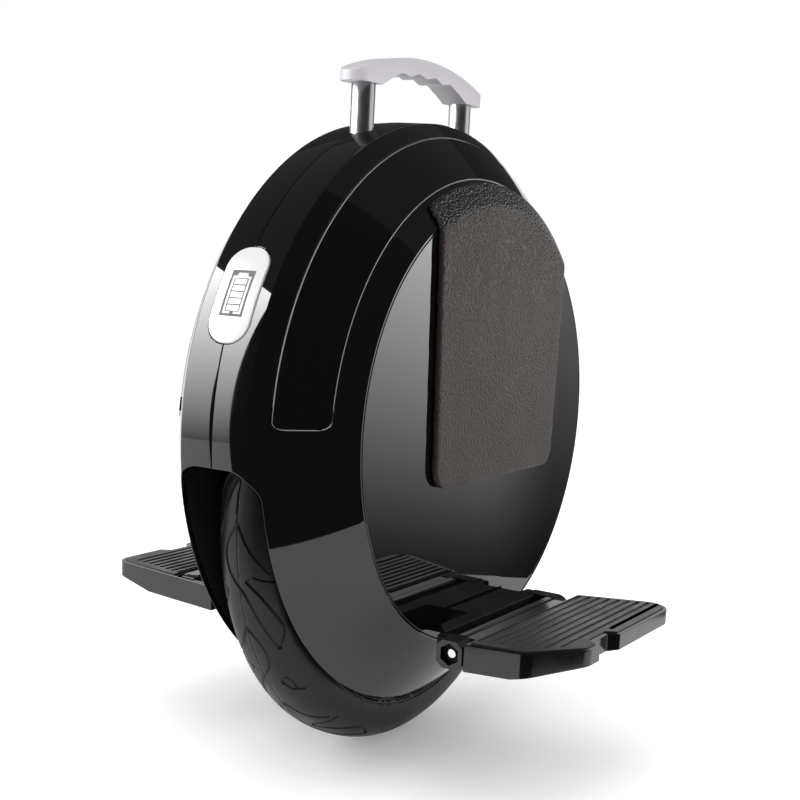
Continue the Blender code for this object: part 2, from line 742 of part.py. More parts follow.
def leg_pad():
    """Its back follows the side plate and the shoulder, its front is flat with a bevelled top."""
    face = FACE_X + PAD_THICKNESS
    flat = FACE_RADIUS - PAD_FLAT_INSET
    profile = [(FACE_X + FIT, 0.0), (FACE_X + FIT, FACE_RADIUS)]
    profile += [shoulder(1 - PAD_LAP * k / 2, 2 * FIT) for k in range(3)]
    profile += [shoulder(1 - PAD_LAP, 2 * FIT + PAD_LIP)]
    profile += [(face - PAD_BEVEL_DROP, flat + PAD_BEVEL_RISE), (face, flat), (face, 0.0)]
    pad = turned("left_leg_pad", profile, steps=SHELL_STEPS, centre=BODY_CENTRE)
    low = BODY_Z - PAD_BOTTOM
    high = BODY_Z + PAD_TOP + CLEAR
    lean = (PAD_TOP_HALF - PAD_BOTTOM_HALF) / (PAD_BOTTOM + PAD_TOP)
    top_half = PAD_BOTTOM_HALF + lean * (high - low)
    outline = fillet(
        [
            (PAD_SET_BACK - PAD_BOTTOM_HALF, low),
            (PAD_SET_BACK + PAD_BOTTOM_HALF, low),
            (PAD_SET_BACK + top_half, high),
            (PAD_SET_BACK - top_half, high),
        ],
        [PAD_CORNER, PAD_CORNER, 0.0, 0.0],
    )
    block = prism("pad_outline", outline, FACE_X - 2 * CLEAR, face + CLEAR, "X", keep=False)
    pad = combine(pad, block, "INTERSECT")
    return finish(pad, PAD_LEATHER)


left_pad = leg_pad()
right_pad = mirrored(left_pad, "right_leg_pad")

# Battery light

lens = light_prism("battery_light_lens", FIT, -2 * WALL, WALL)
skin = rectangle(-LIGHT_WIDTH, LIGHT_WIDTH, CROWN_INNER, CROWN_RADIUS + LIGHT_PROUD)
lens_skin = turned("lens_skin", skin, LIGHT_SKIN_STEPS, BODY_CENTRE, keep=False)
lens = combine(lens, lens_skin, "INTERSECT")
finish(lens, WHITE_LENS)

board_half = LIGHT_LENGTH / 2 - BOARD_INSET
sag = CROWN_RADIUS - math.sqrt(CROWN_RADIUS**2 - board_half**2)
board_top = CROWN_RADIUS - WALL - sag - FIT
light_board = light_prism(
    "battery_light_board",
    BOARD_INSET,
    board_top - BOARD_THICKNESS - CROWN_RADIUS,
    board_top - CROWN_RADIUS,
)
finish(light_board, BOARD_GREEN)

# Handle

def arc_drop(y):
    return GRIP_ARC_RADIUS - math.sqrt(GRIP_ARC_RADIUS**2 - y * y)


GRIP_Z = BODY_Z + CROWN_RADIUS + GRIP_RISE
BLOCK_UNDER = GRIP_Z - arc_drop(POST_REACH) - GRIP_BLOCK_DEPTH


def grip_outline():
    """The grip seen from the side: arched back, two end blocks and finger hollows between."""
    top = []
    for k in range(13):
        y = GRIP_HALF_LENGTH * (1 - k / 6)
        top.append((y, GRIP_Z - arc_drop(y)))
    inner_end = GRIP_HALF_LENGTH - GRIP_BLOCK_LENGTH
    under = [(-GRIP_HALF_LENGTH, BLOCK_UNDER), (-inner_end, BLOCK_UNDER)]
    fingers = FINGER_COUNT * FINGER_PITCH / 2
    steps = 5 * FINGER_COUNT
    for k in range(steps + 1):
        y = -fingers + 2 * fingers * k / steps
        bump = FINGER_BUMP * (0.5 - 0.5 * math.cos(2 * math.pi * y / FINGER_PITCH))
        under.append((y, GRIP_Z - arc_drop(y) - GRIP_DEPTH + bump))
    under += [(inner_end, BLOCK_UNDER), (GRIP_HALF_LENGTH, BLOCK_UNDER)]
    return top + under


grip = prism("handle_grip", grip_outline(), -GRIP_HALF_WIDTH, GRIP_HALF_WIDTH, "X")
plan = fillet(
    [
        (GRIP_HALF_WIDTH, GRIP_HALF_LENGTH),
        (-GRIP_HALF_WIDTH, GRIP_HALF_LENGTH),
        (-GRIP_HALF_WIDTH, -GRIP_HALF_LENGTH),
        (GRIP_HALF_WIDTH, -GRIP_HALF_LENGTH),
    ],
    [GRIP_HALF_WIDTH * GRIP_END_SHARE] * 4,
    steps=4,
)
plan_block = prism("grip_plan", plan, BLOCK_UNDER - CLEAR, GRIP_Z + CLEAR, "Z", keep=False)
grip = combine(grip, plan_block, "INTERSECT")
ease = grip.modifiers.new("ease", "BEVEL")
ease.width = GRIP_ROUNDING
ease.segments = 2
ease.limit_method = "ANGLE"
ease.angle_limit = math.radians(60.0)
grip = bake(grip)

POST_TOP = BLOCK_UNDER + POST_SEAT
BUSH_LOW = BODY_Z + math.sqrt(CROWN_INNER**2 - POST_REACH**2) - BUSH_HEIGHT
COLLAR_TOP = BUSH_LOW - FIT
TUBE_RADIUS = COLLAR_RADIUS + TUBE_SLACK + TUBE_WALL
TUBE_LOW = AXLE_Z + math.sqrt(roof**2 - (POST_REACH - TUBE_RADIUS) ** 2) + FIT


def upright(name, radius, y, low, high, keep=True):
    return cylinder(name, radius, (0.0, y, low), (0.0, y, high), POST_SIDES, keep)


CROWN_TOP = BODY_Z + CROWN_RADIUS
for label, side in (("front", -1), ("rear", 1)):
    y = side * POST_REACH
    under = BLOCK_UNDER - CLEAR
    grip = combine(grip, upright("seat", POST_RADIUS + FIT, y, under, POST_TOP + FIT, keep=False))
    post = upright(f"handle_post_{label}", POST_RADIUS, y, COLLAR_TOP - POST_LAP, POST_TOP)
    low = COLLAR_TOP - COLLAR_HEIGHT
    collar = upright("collar", COLLAR_RADIUS, y, low, COLLAR_TOP, keep=False)
    finish(combine(post, collar, "UNION"), BRUSHED_STEEL)
    guide = upright(f"handle_guide_{label}", TUBE_RADIUS, y, TUBE_LOW, CROWN_TOP)
    guide = combine(guide, inside("guide_top", FIT), "INTERSECT")
    low = TUBE_LOW - CLEAR
    bore = upright("bush_bore", POST_RADIUS + RUN, y, low, CROWN_TOP, keep=False)
    guide = combine(guide, bore)
    wide = upright("tube_bore", COLLAR_RADIUS + TUBE_SLACK, y, low, BUSH_LOW, keep=False)
    finish(combine(guide, wide), MATT_BLACK)
finish(grip, SATIN_SILVER)

# Wheel

def both_sides(half):
    """Mirrors half of a profile, which runs from +X to the middle, to the other side."""
    return half + [(-x, r) for x, r in half[::-1] if x > 0.0]


def wheel_piece(name, profile, mat, steps=WHEEL_STEPS):
    return finish(turned(name, profile, steps, WHEEL_CENTRE), mat)


flange_top = BEAD_SEAT_RADIUS + FLANGE_HEIGHT
flange_face = BEAD_HALF_WIDTH + FLANGE_THICKNESS
toe = BEAD_HALF_WIDTH - BEAD_TOE
bead = BEAD_SEAT_RADIUS + FIT
height = TYRE_RADIUS - flange_top
tyre_outside = [
    (toe, bead),
    (BEAD_HALF_WIDTH - FIT, bead),
    (BEAD_HALF_WIDTH - FIT, flange_top + 2 * FIT),
    (TYRE_HALF_WIDTH * 0.92, flange_top + height * 0.20),
    (TYRE_HALF_WIDTH, flange_top + height * 0.44),
    (TYRE_HALF_WIDTH * 0.88, flange_top + height * 0.74),
    (TYRE_HALF_WIDTH * 0.52, flange_top + height * 0.94),
    (0.0, TYRE_RADIUS),
]
tyre_inside = [
    (0.0, TYRE_RADIUS - TYRE_TREAD),
    (TYRE_HALF_WIDTH * 0.58, flange_top + height * 0.74),
    (TYRE_HALF_WIDTH * 0.80, flange_top + height * 0.42),
    (toe - TOE_TAPER, flange_top + height * 0.05),
]
tyre_profile = both_sides(tyre_outside)
tyre_profile += [(-x, r) for x, r in tyre_inside[::-1]] + tyre_inside[1:]
wheel_piece("tyre", tyre_profile, RUBBER)

bed = BEAD_SEAT_RADIUS - RIM_BED_DEPTH
rim_half = [
    (flange_face, DRUM_RADIUS),
    (flange_face, flange_top),
    (BEAD_HALF_WIDTH, flange_top),
    (BEAD_HALF_WIDTH, BEAD_SEAT_RADIUS),
    (toe - RIM_HUMP, BEAD_SEAT_RADIUS),
    (toe - RIM_HUMP - RIM_SLOPE, bed),
]
rim = turned("wheel_rim", both_sides(rim_half), WHEEL_STEPS, WHEEL_CENTRE)
valve_z = AXLE_Z - (COVER_RADIUS + VALVE_RADIUS + 2 * FIT)
valve_seat = cylinder(
    "valve_seat",
    VALVE_RADIUS + FIT,
    (flange_face - VALVE_SEAT, 0.0, valve_z),
    (flange_face + CLEAR, 0.0, valve_z),
    VALVE_SIDES,
    keep=False,
)
rim = combine(rim, valve_seat)
finish(rim, BLACK_ALLOY)
valve = cylinder(
    "tyre_valve",
    VALVE_RADIUS,
    (flange_face - VALVE_SEAT + FIT, 0.0, valve_z),
    (flange_face + VALVE_LENGTH, 0.0, valve_z),
    VALVE_SIDES,
)
finish(valve, BRIGHT_STEEL)

magnet_inner = DRUM_RADIUS - FIT - MAGNET_THICKNESS
magnet_outer = DRUM_RADIUS - FIT
magnets = rectangle(-MAGNET_HALF_WIDTH, MAGNET_HALF_WIDTH, magnet_inner, magnet_outer)
wheel_piece("magnet_ring", magnets, DARK_IRON)

bearing_out = COVER_FACE - COVER_LIP - FIT
bearing_in = bearing_out - BEARING_WIDTH
boss_radius = BEARING_RADIUS + COVER_BOSS_WALL
lip_radius = BEARING_RADIUS - BEARING_LIP
cover_in = COVER_FACE - COVER_THICKNESS
flat_radius = COVER_RADIUS * COVER_FLAT
cover_profile = [
    (flange_face + FIT, COVER_RADIUS),
    (flange_face + FIT + COVER_THICKNESS, COVER_RADIUS),
    (cover_in + COVER_BELLY, COVER_RADIUS * COVER_SLOPE_START),
    (COVER_FACE, flat_radius),
    (COVER_FACE, lip_radius),
    (COVER_FACE - COVER_LIP, lip_radius),
    (COVER_FACE - COVER_LIP, BEARING_RADIUS + FIT),
    (bearing_in, BEARING_RADIUS + FIT),
    (bearing_in, boss_radius),
    (cover_in, boss_radius),
    (cover_in - STEP, flat_radius),
    (flange_face + FIT, COVER_RADIUS * COVER_RECESS),
]
left_cover = wheel_piece("left_motor_cover", cover_profile, ALLOY, COVER_STEPS)
mirrored(left_cover, "right_motor_cover")
bearing_profile = rectangle(bearing_in, bearing_out, AXLE_RADIUS + RUN, BEARING_RADIUS)
left_bearing = wheel_piece("left_bearing", bearing_profile, BRIGHT_STEEL, BORE_SIDES)
mirrored(left_bearing, "right_bearing")

# Axle and stator

shoulder_radius = AXLE_RADIUS + AXLE_SHOULDER
axle_half = [
    (AXLE_HALF_LENGTH, 0.0),
    (AXLE_HALF_LENGTH, AXLE_RADIUS),
    (bearing_in - FIT, AXLE_RADIUS),
    (bearing_in - FIT, shoulder_radius),
]
wheel_piece("axle", both_sides(axle_half), BRUSHED_STEEL, BORE_SIDES)

stator_radius = magnet_inner - AIR_GAP
root = stator_radius - STATOR_SLOT_DEPTH
teeth = []
for k in range(STATOR_TEETH):
    for share, radius in ((-0.40, stator_radius), (0.40, stator_radius), (0.43, root), (0.57, root)):
        angle = 2 * math.pi * (k + share) / STATOR_TEETH
        teeth.append((radius * math.sin(angle), AXLE_Z + radius * math.cos(angle)))
stator = prism("motor_stator", teeth, -STATOR_HALF_WIDTH, STATOR_HALF_WIDTH, "X")
window_ring = (STATOR_HUB_RADIUS + root) / 2
window_radius = (root - STATOR_HUB_RADIUS) / 2 - STATOR_SPOKE
window_end = STATOR_HALF_WIDTH + CLEAR
for k in range(STATOR_WINDOWS):
    angle = 2 * math.pi * k / STATOR_WINDOWS
    y = window_ring * math.sin(angle)
    z = AXLE_Z + window_ring * math.cos(angle)
    ends = ((-window_end, y, z), (window_end, y, z))
    window = cylinder("window", window_radius, *ends, STATOR_WINDOW_SIDES, keep=False)
    stator = combine(stator, window)
bore = cylinder(
    "stator_bore",
    shoulder_radius + FIT,
    (-window_end, 0.0, AXLE_Z),
    (window_end, 0.0, AXLE_Z),
    BORE_SIDES,
    keep=False,
)
stator = combine(stator, bore)
finish(stator, DARK_IRON)
winding_low = root + WINDING_FOOT
winding_high = stator_radius - WINDING_HEAD
winding_profile = [
    (STATOR_HALF_WIDTH + FIT, winding_low),
    (STATOR_HALF_WIDTH + FIT, winding_high),
    (STATOR_HALF_WIDTH + WINDING_HEIGHT, winding_high - WINDING_TAPER),
    (STATOR_HALF_WIDTH + WINDING_HEIGHT, winding_low + WINDING_TAPER),
]
left_winding = wheel_piece("left_winding", winding_profile, COPPER, COVER_STEPS)
mirrored(left_winding, "right_winding")

# Hangers, clamps and hinge pins

def lug_outline(x_low):
    """A hinge lug seen from the front, square below and round above so that the pedal can fold."""
    points = [(x_low, HINGE_Z - BARREL_RADIUS), (HINGE_X + BARREL_RADIUS, HINGE_Z - BARREL_RADIUS)]
    for k in range(7):
        angle = math.pi / 2 * k / 6
        x = HINGE_X + BARREL_RADIUS * math.cos(angle)
        points.append((x, HINGE_Z + BARREL_RADIUS * math.sin(angle)))
    return points + [(x_low, LUG_TOP)]


def hinge_bore(name, radius, y_low, y_high, sides=PIN_SIDES, keep=False):
    start = (HINGE_X, y_low, HINGE_Z)
    return cylinder(name, radius, start, (HINGE_X, y_high, HINGE_Z), sides, keep)


BAR_FACE = HINGE_BAR_X + HINGE_BAR_THICKNESS
arm_in = HANGER_X - HANGER_THICKNESS / 2
arm_out = HANGER_X + HANGER_THICKNESS / 2


def hanger():
    side = HANGER_WAIST
    arm_half = HANGER_HALF_WIDTH - STEP
    arm_low = HINGE_Z - BARREL_RADIUS + 2 * STEP
    arm = [(arm_half, LUG_TOP + 2 * STEP)]
    for k in range(11):
        angle = -side + (math.pi + 2 * side) * k / 10
        y = HANGER_BOSS_RADIUS * math.cos(angle)
        arm.append((y, AXLE_Z + HANGER_BOSS_RADIUS * math.sin(angle)))
    arm += [(-arm_half, LUG_TOP + 2 * STEP), (-arm_half, arm_low), (arm_half, arm_low)]
    piece = prism("left_hanger", arm, arm_in, arm_out, "X")
    outline = [
        (HANGER_X, -HANGER_HALF_WIDTH),
        (HINGE_BAR_X, -HANGER_HALF_WIDTH),
        (HINGE_BAR_X, -PEDAL_FRONT + STEP),
        (BAR_FACE, -PEDAL_FRONT + STEP),
        (BAR_FACE, REAR_LUG_END - STEP),
        (HINGE_BAR_X, REAR_LUG_END - STEP),
        (HINGE_BAR_X, HANGER_HALF_WIDTH),
        (HANGER_X, HANGER_HALF_WIDTH),
    ]
    low = HINGE_Z - BARREL_RADIUS + STEP
    foot = prism("foot", outline, low, LUG_TOP - STEP, "Z", keep=False)
    piece = combine(piece, foot, "UNION")
    lug_x = BAR_FACE - HINGE_BAR_THICKNESS / 2
    for low, high in ((-PEDAL_FRONT, FRONT_LUG_BACK), (REAR_LUG_FRONT, REAR_LUG_END)):
        lug = prism("lug", lug_outline(lug_x), low, high, "Y", keep=False)
        piece = combine(piece, lug, "UNION")
    shaft = cylinder(
        "axle_hole",
        AXLE_RADIUS + FIT,
        (arm_in - CLEAR, 0.0, AXLE_Z),
        (arm_out + CLEAR, 0.0, AXLE_Z),
        BORE_SIDES,
        keep=False,
    )
    piece = combine(piece, shaft)
    ends = (-PEDAL_FRONT - CLEAR, REAR_LUG_END + CLEAR)
    piece = combine(piece, hinge_bore("pin_hole", PIN_RADIUS + RUN, *ends))
    corner = HEX_FLATS / math.sqrt(3)
    hexagon = []
    for k in range(6):
        angle = math.pi / 3 * k
        hexagon.append((HINGE_X + corner * math.sin(angle), HINGE_Z + corner * math.cos(angle)))
    ends = (-PEDAL_FRONT - CLEAR, -PEDAL_FRONT + HEX_DEPTH)
    piece = combine(piece, prism("recess", hexagon, *ends, "Y", keep=False))
    return finish(piece, BLACK_ALLOY)


left_hanger = hanger()
mirrored(left_hanger, "right_hanger")

ends = (-PEDAL_FRONT + HEX_DEPTH - 2 * STEP, REAR_LUG_END - STEP)
pin = hinge_bore("left_hinge_pin", PIN_RADIUS, *ends, keep=True)
finish(pin, BRIGHT_STEEL)
mirrored(pin, "right_hinge_pin")

clamp_profile = [
    (LINER_OUTER + FIT, AXLE_RADIUS + FIT),
    (LINER_OUTER + FIT, CLAMP_RADIUS),
    (LINER_OUTER + FIT + CLAMP_FLANGE, CLAMP_RADIUS),
    (LINER_OUTER + FIT + CLAMP_FLANGE, CLAMP_BOSS_RADIUS),
    (arm_in - FIT, CLAMP_BOSS_RADIUS),
    (arm_in - FIT, AXLE_RADIUS + FIT),
]
left_clamp = wheel_piece("left_axle_clamp", clamp_profile, ALLOY, BORE_SIDES)
mirrored(left_clamp, "right_axle_clamp")

nut = cylinder(
    "left_axle_nut",
    NUT_FLATS / math.sqrt(3),
    (arm_out + FIT, 0.0, AXLE_Z),
    (arm_out + FIT + NUT_THICKNESS, 0.0, AXLE_Z),
    6,
)
nut_bore = cylinder(
    "nut_bore",
    AXLE_RADIUS + FIT,
    (arm_out - CLEAR, 0.0, AXLE_Z),
    (arm_out + 2 * CLEAR, 0.0, AXLE_Z),
    BORE_SIDES,
    keep=False,
)
nut = combine(nut, nut_bore)
finish(nut, BRIGHT_STEEL)
mirrored(nut, "right_axle_nut")

# Pedals and their mats

def pedal_outline():
    points = [
        (PEDAL_INNER_X, -PEDAL_FRONT),
        (PEDAL_CHAMFER_X, -PEDAL_CHAMFER_FRONT),
        (PEDAL_OUTER_X, -PEDAL_CHAMFER_BACK),
        (PEDAL_OUTER_X, NOTCH_START),
        (PEDAL_OUTER_X - NOTCH_DEPTH, NOTCH_START + NOTCH_DEPTH * NOTCH_SLOPE),
        (PEDAL_OUTER_X - NOTCH_DEPTH, NOTCH_END - NOTCH_DEPTH * NOTCH_SLOPE),
        (PEDAL_OUTER_X, NOTCH_END),
        (PEDAL_OUTER_X, PEDAL_REAR_OUTER),
        (PEDAL_INNER_X, PEDAL_REAR_INNER),
    ]
    return points, [0.0, PEDAL_FRONT_CORNER, PEDAL_FRONT_CORNER, 0, 0, 0, 0, PEDAL_REAR_CORNER, 0]


def inset(points, distance):
    """The same outline moved in by a distance; it runs anticlockwise."""
    out = []
    count = len(points)
    for i in range(count):
        a, b, c = (Vector(points[(i + k - 1) % count]) for k in range(3))
        first = (b - a).normalized()
        last = (c - b).normalized()
        first_in = Vector((-first.y, first.x)) * distance
        last_in = Vector((-last.y, last.x)) * distance
        cross = first.x * last.y - first.y * last.x
        if abs(cross) < 1e-6:
            out.append(tuple(b + first_in))
            continue
        offset = (b + last_in) - (b + first_in)
        along = (offset.x * last.y - offset.y * last.x) / cross
        out.append(tuple(b + first_in + first * along))
    return out


def pedal():
    points, radii = pedal_outline()
    knuckle_front = FRONT_LUG_BACK + FIT
    knuckle_back = REAR_LUG_FRONT - FIT
    plan = fillet(points, radii)
    plan += [
        (PEDAL_INNER_X, knuckle_back),
        (HINGE_X + STEP, knuckle_back),
        (HINGE_X + STEP, knuckle_front),
        (PEDAL_INNER_X, knuckle_front),
    ]
    piece = prism("left_pedal", plan, PEDAL_BOTTOM, PEDAL_TOP, "Z")
    start = PEDAL_TAPER_START - CLEAR
    reach = PEDAL_OUTER_X + CLEAR
    rise = (PEDAL_THICKNESS - PEDAL_EDGE_THICKNESS) / (PEDAL_OUTER_X - PEDAL_TAPER_START)
    wedge = [
        (start, PEDAL_BOTTOM - rise * CLEAR),
        (reach, PEDAL_BOTTOM - rise * CLEAR),
        (reach, PEDAL_BOTTOM + rise * (reach - PEDAL_TAPER_START)),
    ]
    ends = (-PEDAL_FRONT - CLEAR, PEDAL_FRONT + CLEAR)
    piece = combine(piece, prism("taper", wedge, *ends, "Y", keep=False))
    barrel = hinge_bore(
        "barrel", BARREL_RADIUS, knuckle_front + STEP, knuckle_back - STEP, BORE_SIDES
    )
    piece = combine(piece, barrel, "UNION")
    lip = box(
        "stop_lip",
        (BAR_FACE + FIT, knuckle_front + STOP_LIP_END, PEDAL_BOTTOM + STEP),
        (HINGE_X + STOP_LIP_REACH, knuckle_back - STOP_LIP_END, HINGE_Z - STOP_LIP_DROP),
        keep=False,
    )
    piece = combine(piece, lip, "UNION")
    bore = hinge_bore("bore", PIN_RADIUS + RUN, knuckle_front - CLEAR, knuckle_back + CLEAR)
    piece = combine(piece, bore)
    x_last = PEDAL_OUTER_X - NOTCH_DEPTH - POCKET_EDGE
    x_cuts = (PEDAL_INNER_X + POCKET_EDGE, PEDAL_TAPER_START - POCKET_RIB, x_last)
    step = (POCKET_FRONT + POCKET_REAR) / POCKET_ROWS
    for x_low, x_high in zip(x_cuts, x_cuts[1:]):
        for row in range(POCKET_ROWS):
            y_low = -POCKET_FRONT + row * step
            y_high = y_low + step
            if x_high > PEDAL_CHAMFER_X:
                y_low = max(y_low, -PEDAL_CHAMFER_BACK)
            low = (x_low + POCKET_RIB / 2, y_low + POCKET_RIB / 2, PEDAL_BOTTOM - CLEAR)
            high = (x_high - POCKET_RIB / 2, y_high - POCKET_RIB / 2, PEDAL_BOTTOM + POCKET_DEPTH)
            piece = combine(piece, box("pocket", low, high, keep=False))
    tray = mat_outline(0.0)
    floor = PEDAL_TOP - MAT_THICKNESS + RIB_DEPTH / 2
    piece = combine(piece, prism("tray", tray, floor, PEDAL_TOP + CLEAR, "Z", keep=False))
    return finish(piece, BLACK_ALLOY), floor


def mat_outline(gap):
    points, radii = pedal_outline()
    points = inset(points, MAT_MARGIN + gap)
    radii = [max(r - MAT_MARGIN - gap, 0.0) for r in radii]
    return fillet(points, radii)


def pedal_mat(floor):
    """A rubber mat with ribs along the pedal and a flat margin round them."""
    top = floor + FIT + MAT_THICKNESS
    piece = prism("left_pedal_mat", mat_outline(FIT), floor + FIT, top, "Z")
    x = PEDAL_INNER_X + MAT_MARGIN + RIB_MARGIN + RIB_GROOVE / 2
    rear_slope = (PEDAL_REAR_OUTER - PEDAL_REAR_INNER) / (PEDAL_OUTER_X - PEDAL_INNER_X)
    front_slope = (PEDAL_FRONT - PEDAL_CHAMFER_FRONT) / (PEDAL_CHAMFER_X - PEDAL_INNER_X)
    chamfer = (PEDAL_CHAMFER_FRONT - PEDAL_CHAMFER_BACK) / (PEDAL_OUTER_X - PEDAL_CHAMFER_X)
    chamfer_start = PEDAL_CHAMFER_X - RIB_GROOVE
    while x < PEDAL_OUTER_X - NOTCH_DEPTH - MAT_MARGIN - RIB_MARGIN:
        front = PEDAL_FRONT - front_slope * (x - PEDAL_INNER_X)
        if x > chamfer_start:
            front = PEDAL_CHAMFER_FRONT - chamfer * (x - chamfer_start)
        back = PEDAL_REAR_INNER + rear_slope * (x - PEDAL_INNER_X)
        low = (x - RIB_GROOVE / 2, -front + MAT_MARGIN + RIB_FRONT_MARGIN, top - RIB_DEPTH)
        high = (x + RIB_GROOVE / 2, back - MAT_MARGIN - RIB_REAR_MARGIN, top + CLEAR)
        piece = combine(piece, box("groove", low, high, keep=False))
        x += RIB_PITCH
    return finish(piece, MAT_RUBBER)


left_pedal, mat_floor = pedal()
right_pedal = mirrored(left_pedal, "right_pedal")
left_mat = pedal_mat(mat_floor)
right_mat = mirrored(left_mat, "right_pedal_mat")

# Power button and charging socket

bezel_rim = CROWN_RADIUS + BEZEL_PROUD
bezel_seat = CROWN_INNER - BEZEL_DEPTH
bezel_base = around(BUTTON_TURN, bezel_seat - BEZEL_FLOOR)
bezel = cylinder(
    "button_bezel", BEZEL_RADIUS, bezel_base, around(BUTTON_TURN, bezel_rim), BORE_SIDES
)
bezel_bore = cylinder(
    "bezel_bore",
    BUTTON_BORE,
    around(BUTTON_TURN, bezel_seat),
    around(BUTTON_TURN, CROWN_RADIUS + CLEAR),
    BORE_SIDES,
    keep=False,
)
bezel = combine(bezel, bezel_bore)
finish(bezel, MATT_BLACK)
button = cylinder(
    "power_button",
    BUTTON_RADIUS,
    around(BUTTON_TURN, bezel_seat + BUTTON_TRAVEL + FIT),
    around(BUTTON_TURN, bezel_rim + BUTTON_TRAVEL),
    BORE_SIDES,
)
finish(button, BRUSHED_STEEL)

socket = cylinder(
    "charging_socket",
    SOCKET_RADIUS + SOCKET_WALL,
    around(SOCKET_TURN, CROWN_RADIUS - SOCKET_DEPTH - SOCKET_FLOOR),
    around(SOCKET_TURN, CROWN_RADIUS + SOCKET_PROUD),
    BORE_SIDES,
)
socket_bore = cylinder(
    "socket_bore",
    SOCKET_RADIUS,
    around(SOCKET_TURN, CROWN_RADIUS - SOCKET_DEPTH),
    around(SOCKET_TURN, CROWN_RADIUS + CLEAR),
    BORE_SIDES,
    keep=False,
)
socket = combine(socket, socket_bore)
finish(socket, MATT_BLACK)


def onto_crown(obj, turn):
    """Carries a piece built above the body's centre round to its place on the crown."""
    obj.data.transform(Matrix.Translation((0.0, 0.0, BODY_Z)) @ Matrix.Rotation(turn, 4, "X"))
    return obj


def charging_cap():
    low = CROWN_RADIUS + SOCKET_PROUD + FIT
    high = low + CAP_THICKNESS
    piece = cylinder("charging_cap", CAP_RADIUS, (0.0, 0.0, low), (0.0, 0.0, high), BORE_SIDES)
    plug_low = (0.0, 0.0, low - CAP_PLUG_DEPTH)
    plug = cylinder("plug", CAP_PLUG_RADIUS, plug_low, (0.0, 0.0, low + STEP), 16, keep=False)
    piece = combine(piece, plug, "UNION")
    tab = box(
        "tab",
        (-CAP_TAB_HALF, -CAP_HINGE_OFFSET - CAP_TAB_END, low + STEP),
        (CAP_TAB_HALF, -CAP_PLUG_RADIUS, high - STEP),
        keep=False,
    )
    piece = combine(piece, tab, "UNION")
    return finish(onto_crown(piece, SOCKET_TURN), MATT_BLACK), (low + high) / 2


cap, cap_hinge_radius = charging_cap()

# Battery packs and controller

def battery():
    low_x = LINER_OUTER + FIT
    high_x = INNER_X - 2 * FIT
    outline = fillet(
        [
            (-BATTERY_HALF_LENGTH, BATTERY_LOW),
            (BATTERY_HALF_LENGTH, BATTERY_LOW),
            (BATTERY_HALF_LENGTH, BATTERY_HIGH),
            (-BATTERY_HALF_LENGTH, BATTERY_HIGH),
        ],
        [BATTERY_CORNER] * 4,
        steps=3,
    )
    return finish(prism("left_battery_pack", outline, low_x, high_x, "X"), BATTERY_BLUE)


mirrored(battery(), "right_battery_pack")

sink_z = AXLE_Z + roof + FIT
sink = box(
    "controller_heatsink",
    (-HEATSINK_HALF_WIDTH, -HEATSINK_HALF_LENGTH, sink_z),
    (HEATSINK_HALF_WIDTH, HEATSINK_HALF_LENGTH, sink_z + HEATSINK_HEIGHT),
)
slot_pitch = 2 * HEATSINK_HALF_WIDTH / FIN_COUNT
for k in range(FIN_COUNT - 1):
    x = -HEATSINK_HALF_WIDTH + slot_pitch * (k + 1)
    half_gap = slot_pitch * FIN_GAP / 2
    gap_end = HEATSINK_HALF_LENGTH + CLEAR
    low = (x - half_gap, -gap_end, sink_z + HEATSINK_BASE)
    high = (x + half_gap, gap_end, sink_z + HEATSINK_HEIGHT + CLEAR)
    sink = combine(sink, box("fin_gap", low, high, keep=False))
finish(sink, ALLOY)
board_z = sink_z + HEATSINK_HEIGHT + FIT
controller = box(
    "controller_board",
    (-HEATSINK_HALF_WIDTH, -HEATSINK_HALF_LENGTH, board_z),
    (HEATSINK_HALF_WIDTH, HEATSINK_HALF_LENGTH, board_z + BOARD_THICKNESS),
)
for column, row in ((-1, -1), (0, -1), (1, -1), (0, 1)):
    x = column * CAPACITOR_PITCH
    y = row * CAPACITOR_ROW
    can = cylinder(
        "capacitor",
        CAPACITOR_RADIUS,
        (x, y, board_z + BOARD_THICKNESS - STEP),
        (x, y, board_z + CAPACITOR_HEIGHT),
        CAPACITOR_SIDES,
        keep=False,
    )
    controller = combine(controller, can, "UNION")
finish(controller, BOARD_GREEN)

# Origins of the moving pieces on their joint axes

wheel_names = ("tyre", "wheel_rim", "left_motor_cover", "right_motor_cover", "magnet_ring")
for name in wheel_names + ("left_bearing", "right_bearing", "tyre_valve"):
    set_origin(bpy.data.objects[name], (0.0, 0.0, AXLE_Z))
for label, side in (("left", 1), ("right", -1)):
    for name in (f"{label}_pedal", f"{label}_pedal_mat"):
        set_origin(bpy.data.objects[name], (side * HINGE_X, 0.0, HINGE_Z))
for name in ("handle_grip", "handle_post_front", "handle_post_rear"):
    set_origin(bpy.data.objects[name], (0.0, 0.0, GRIP_Z))
set_origin(bpy.data.objects["power_button"], around(BUTTON_TURN, CROWN_RADIUS))
cap_turn = Matrix.Rotation(SOCKET_TURN, 3, "X")
cap_hinge = cap_turn @ Vector((0.0, -CAP_HINGE_OFFSET, cap_hinge_radius))
set_origin(cap, cap_hinge + Vector((0.0, 0.0, BODY_Z)))
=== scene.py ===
# %% [markdown]
# # Dressing an electric unicycle
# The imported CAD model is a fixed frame: every node already sits in its place in metres, with +X to
# the rider's left, -Y to the front and +Z up. This lesson builds the visible skins round that frame,
# one piece to a cell, and gives every surface a finish made of nodes.

import json
import math

import bpy
from mathutils import Matrix, Vector


